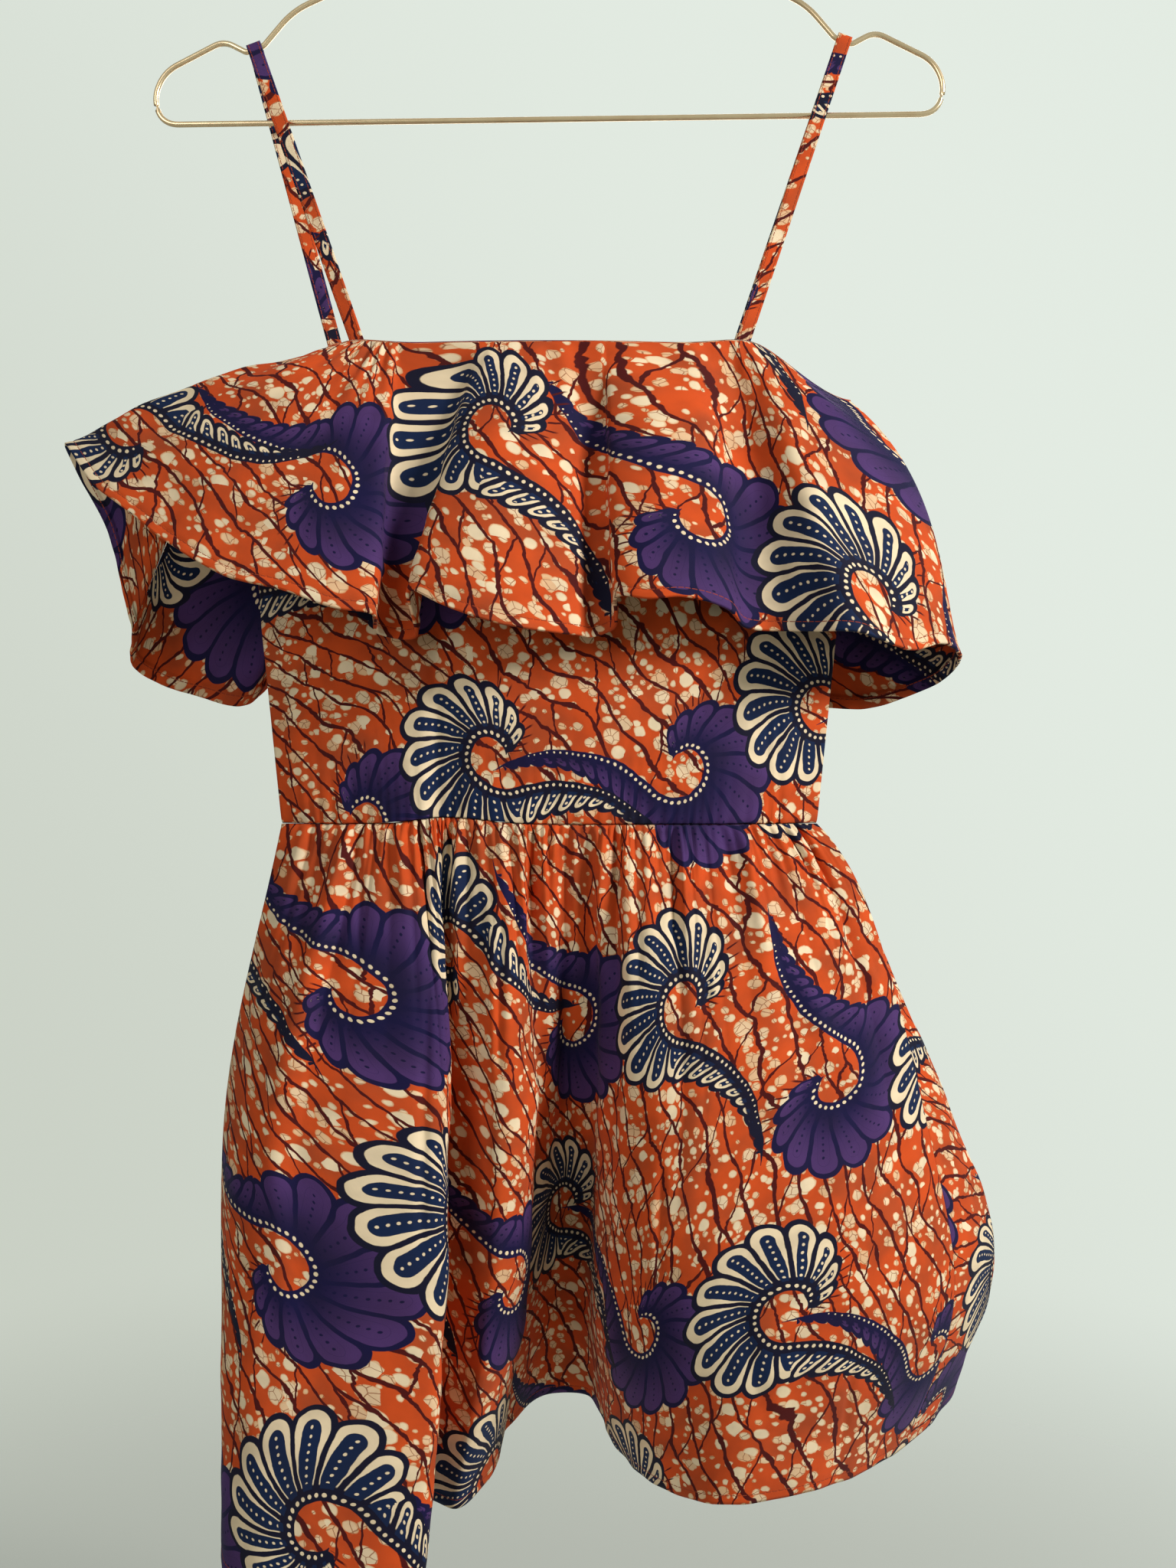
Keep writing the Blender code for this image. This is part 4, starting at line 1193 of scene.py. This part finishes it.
def wax_print_group():
    """The whole print: ground, violet plumes and navy plumes. Its vector is in metres of flat cloth."""
    ground, plume = wax_ground_group(), plume_group()
    tree, given, made = new_group("wax print", ["Vector"], ["Color", "Dark"])
    scaled = node_with(tree, "VectorMath", {"operation": "SCALE"}, Vector=given.outputs[0],
                       Scale=1000.0).outputs[0]
    hand = wobbled(tree, wobbled(tree, scaled, 24.0, 4.5), 4.0, 0.6)
    colour = place_group(tree, ground, Vector=scaled).outputs[0]
    shifted = mapped(tree, hand, Location=VIOLET_PLACE)
    width, height = PLUME_CELL
    violet, navy = (
        place_group(tree, plume, Vector=vector, Width=width, Height=height, Seed=seed, Size=size,
                    Turn=turn).outputs
        for vector, seed, size, turn in ((shifted, 3.0, VIOLET_SIZE, 0.0),
                                         (hand, 8.0, NAVY_SIZE, math.pi)))
    violet_petals = Term(tree, violet["Rim"]).math("MAXIMUM", violet["Heart"])
    violet_dye = blend(tree, Term(tree, violet["Along"]).spread(0.0, 0.9), INDIGO, VIOLET)
    violet_dots = blend(tree, Term(tree, violet["Heart"]), CREAM, INDIGO)
    for mask, dye in (
            (violet["Hairs"], MAROON), (violet["Plume"], INDIGO), (violet_petals, violet_dye),
            (violet["Dots"], violet_dots), (navy["Hairs"], MAROON), (navy["Plume"], INK),
            (navy["Rim"], CREAM), (navy["Heart"], NAVY), (navy["Dots"], CREAM)):
        colour = blend(tree, mask, colour, dye)
    feed(tree, made.inputs[0], colour)
    feed(tree, made.inputs[1], Term(tree, navy["Plume"]).math("MAXIMUM", violet["Plume"]))
    return tree


def weave_group():
    """Height of a plain weave with uneven threads, 0.45 mm apart. Its vector is in metres."""
    tree, given, made = new_group("plain weave", ["Vector"], ["Height"])
    x, y = parts_of(tree, given.outputs[0])
    pitch = 0.00045
    warp = (x * (2 * math.pi / pitch)).math("SINE")
    weft = (y * (2 * math.pi / pitch)).math("SINE")
    stretched = mapped(tree, given.outputs[0], Scale=(1.0, 0.12, 1.0))
    slub, _ = noise(tree, stretched, 900.0, 2.0)
    grain, _ = noise(tree, given.outputs[0], 260.0, 3.0)
    feed(tree, made.inputs[0], warp * weft * 0.35 + slub * 0.9 + grain * 1.4)
    return tree


def stitch_group():
    """A row of machine stitches. Its vector holds the ways along the edge and in from it, in metres."""
    tree, given, made = new_group("stitches", ["Vector", "Inset"], ["Thread", "Height"])
    run, inward = parts_of(tree, given.outputs[0])
    pitch, half_thread = 0.0029, 0.00019
    off_line = abs(inward - Term(tree, given.outputs[1]))
    middle = abs((run / pitch).fract() - 0.5)
    thread = off_line.below(half_thread, 0.00010) * middle.below(0.40, 0.06)
    pit = off_line.below(half_thread * 2.2, 0.00040) * middle.above(0.38, 0.10)
    feed(tree, made.inputs[0], thread)
    feed(tree, made.inputs[1], thread - pit * 1.5)
    return tree


def new_material(name, colour):
    """A material with its node tree and shader; colour is for the plain view."""
    material = bpy.data.materials.new(name)
    material.use_nodes = True
    material.diffuse_color = (*colour, 1.0)
    return material, material.node_tree, material.node_tree.nodes["Principled BSDF"]


def printed_cotton(groups, kind, side):
    """Wax-printed cotton for one panel, cut from its own place on the printed cloth."""
    print_group, weave, stitches = groups
    is_strap = kind == "strap"
    label = f"{side} strap" if is_strap else f"{kind} {side}"
    material, tree, shader = new_material(f"printed cotton, {label}", ORANGE)
    cloth = node_with(tree, "UVMap", {"uv_map": "cloth"}).outputs[0]
    x, y, turn = CUTS[kind, side]
    placed = mapped(tree, cloth, Location=(x, y, 0.0), Rotation=(0.0, 0.0, turn))
    pattern = place_group(tree, print_group, Vector=placed)
    threads = place_group(tree, weave, Vector=cloth)
    if is_strap:
        across, along = parts_of(tree, cloth)
        edge = point_of(tree, along, STRAP_WIDTH / 2.0 - abs(across - STRAP_WIDTH / 2.0))
    else:
        edge = node_with(tree, "UVMap", {"uv_map": "edge"}).outputs[0]
    sewn = place_group(tree, stitches, Vector=edge, Inset=STRAP_STITCH if is_strap else STITCH_INSET)
    mottle, _ = noise(tree, placed, 55.0, 3.0)
    darker = blend(tree, mottle.spread(0.3, 0.75) * 0.22, pattern.outputs["Color"], SOOT)
    feed(tree, shader.inputs["Base Color"], blend(tree, sewn.outputs["Thread"], darker, THREAD))
    feed(tree, shader.inputs["Roughness"], 0.86 - Term(tree, pattern.outputs["Dark"]) * 0.10)
    relief = Term(tree, threads.outputs[0]) + Term(tree, sewn.outputs["Height"]) * 2.5
    bump = node_with(tree, "Bump", Strength=0.45, Distance=0.00012, Height=relief)
    feed(tree, shader.inputs["Normal"], bump.outputs[0])
    shader.inputs["Sheen Weight"].default_value = 0.03
    shader.inputs["Sheen Roughness"].default_value = 0.5
    shader.inputs["Specular IOR Level"].default_value = 0.13
    return material


def gold_wire():
    """Pale gold plating with faint drawing marks and a few dull spots."""
    material, tree, shader = new_material("pale gold plating", PLAIN_GOLD)
    place = node_with(tree, "TexCoord").outputs["Object"]
    cloud, _ = noise(tree, place, 60.0, 4.0)
    marks, _ = noise(tree, place, 900.0, 2.0)
    feed(tree, shader.inputs["Base Color"], blend(tree, cloud.spread(0.3, 0.7), GOLD, DULL_GOLD))
    feed(tree, shader.inputs["Roughness"], 0.20 + cloud * 0.10)
    bump = node_with(tree, "Bump", Strength=0.02, Distance=0.00003, Height=marks)
    feed(tree, shader.inputs["Normal"], bump.outputs[0])
    shader.inputs["Metallic"].default_value = 1.0
    return material


def camera_and_lamps():
    """Camera at the photograph's place, a broad light from the right, and two softer ones."""
    scene = bpy.context.scene
    scene.view_settings.view_transform = "Standard"
    lens = bpy.data.cameras.new("camera")
    lens.sensor_width = SENSOR
    lens.lens = SENSOR * VIEW_PIXELS / PICTURE_HEIGHT
    lens.clip_start = 0.01
    camera = in_scene("camera", lens)
    camera.location = EYE
    camera.rotation_euler = (math.radians(90.0), 0.0, 0.0)
    scene.camera = camera
    for name, place, power, size in LAMPS:
        light = bpy.data.lights.new(name, "AREA")
        light.energy = power
        light.size = size
        lamp = in_scene(name, light)
        lamp.location = place
        lamp.rotation_euler = (Vector(AIM) - Vector(place)).to_track_quat("-Z", "Y").to_euler()


def pale_room():
    """A pale wall all round, brighter above and to the right, that lights the dress only faintly."""
    world = bpy.data.worlds.new("pale room")
    world.use_nodes = True
    bpy.context.scene.world = world
    tree = world.node_tree
    background = tree.nodes["Background"]
    ray = node_with(tree, "LightPath").outputs
    seen, mirrored = Term(tree, ray["Is Camera Ray"]), Term(tree, ray["Is Glossy Ray"])
    toward = node_with(tree, "TexCoord").outputs["Generated"]
    toward_x, _, toward_z = node_with(tree, "SeparateXYZ", Vector=toward).outputs
    bright = (Term(tree, toward_x) * 0.6 + Term(tree, toward_z) * 0.45).spread(-0.50, 0.35)
    feed(tree, background.inputs["Color"], blend(tree, bright, DIM_WALL, BRIGHT_WALL))
    feed(tree, background.inputs["Strength"], 0.19 + seen * 0.81 + mirrored * 0.40)


def pale_floor():
    """A floor that fades out around the dress and isn't seen from below."""
    material, tree, shader = new_material("pale floor", FLOOR)
    shader.inputs["Base Color"].default_value = (*FLOOR, 1.0)
    shader.inputs["Roughness"].default_value = 0.9
    place = node_with(tree, "TexCoord").outputs["Object"]
    level = mapped(tree, place, Scale=(1.0, 1.0, 0.0))
    far = Term(tree, vector_math(tree, "LENGTH", level)["Value"])
    from_below = Term(tree, node_with(tree, "NewGeometry").outputs["Backfacing"])
    feed(tree, shader.inputs["Alpha"], (1.0 - far.spread(0.4, 1.7)) * (1.0 - from_below))
    mesh = bmesh.new()
    bmesh.ops.create_grid(mesh, x_segments=2, y_segments=2, size=3.0)
    bmesh.ops.translate(mesh, verts=mesh.verts, vec=(0.0, 0.0, FLOOR_Z))
    finished("floor", mesh, material)


def dress():
    """The six panels and two straps of the dress, by kind and side."""
    groups = wax_print_group(), weave_group(), stitch_group()
    pieces = {}
    for side, is_back in (("front", False), ("back", True)):
        for kind, panel in PANELS.items():
            material = printed_cotton(groups, kind, side)
            piece = cloth_panel(f"{kind}_{side}_cloth", panel, is_back, material)
            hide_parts(f"{kind}_{side}")
            pieces[kind, side] = piece
    for side, sign, front_x, back_x in (("left", -1.0, -0.1005, -0.1150),
                                        ("right", 1.0, 0.1025, 0.0985)):
        material = printed_cotton(groups, "strap", side)
        piece = strap(f"strap_{side}_band", sign, front_x, back_x, material)
        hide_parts(f"strap_{side}")
        pieces["strap", side] = piece
    return pieces


def hanger():
    """The wire frame, its hook and the collar between them."""
    gold = gold_wire()
    for piece, node in ((frame_wire(gold), "hanger_frame"), (hook_wire(gold), "hanger_hook"),
                        (neck_collar(gold), "hanger_collar")):
        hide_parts(node)
        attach(piece, "root")


def tell_sheets(pieces):
    """Works out the flat sizes of the bodice and skirt sheets but does nothing with them, nor with the
    straps that hold the front.
    """
    bodice_width = 2.0 * TOP_HALF_WIDTH
    skirt_share = SKIRT_KNOTS[SKIRT_SEAM]
    for side, top, share, straps in (
            ("front", TOP_FRONT_Z, skirt_share, [pieces["strap", "left"], pieces["strap", "right"]]),
            ("back", TOP_BACK_Z, 1.0 - skirt_share, [])):
        length = top - WAIST_Z
        0.94 * bodice_width * length
        SKIRT_HEM * share


def main():
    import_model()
    camera_and_lamps()
    pale_room()
    pale_floor()
    pieces = dress()
    hanger()
    for piece in pieces.values():
        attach(piece, "root")
    tell_sheets(pieces)


main()
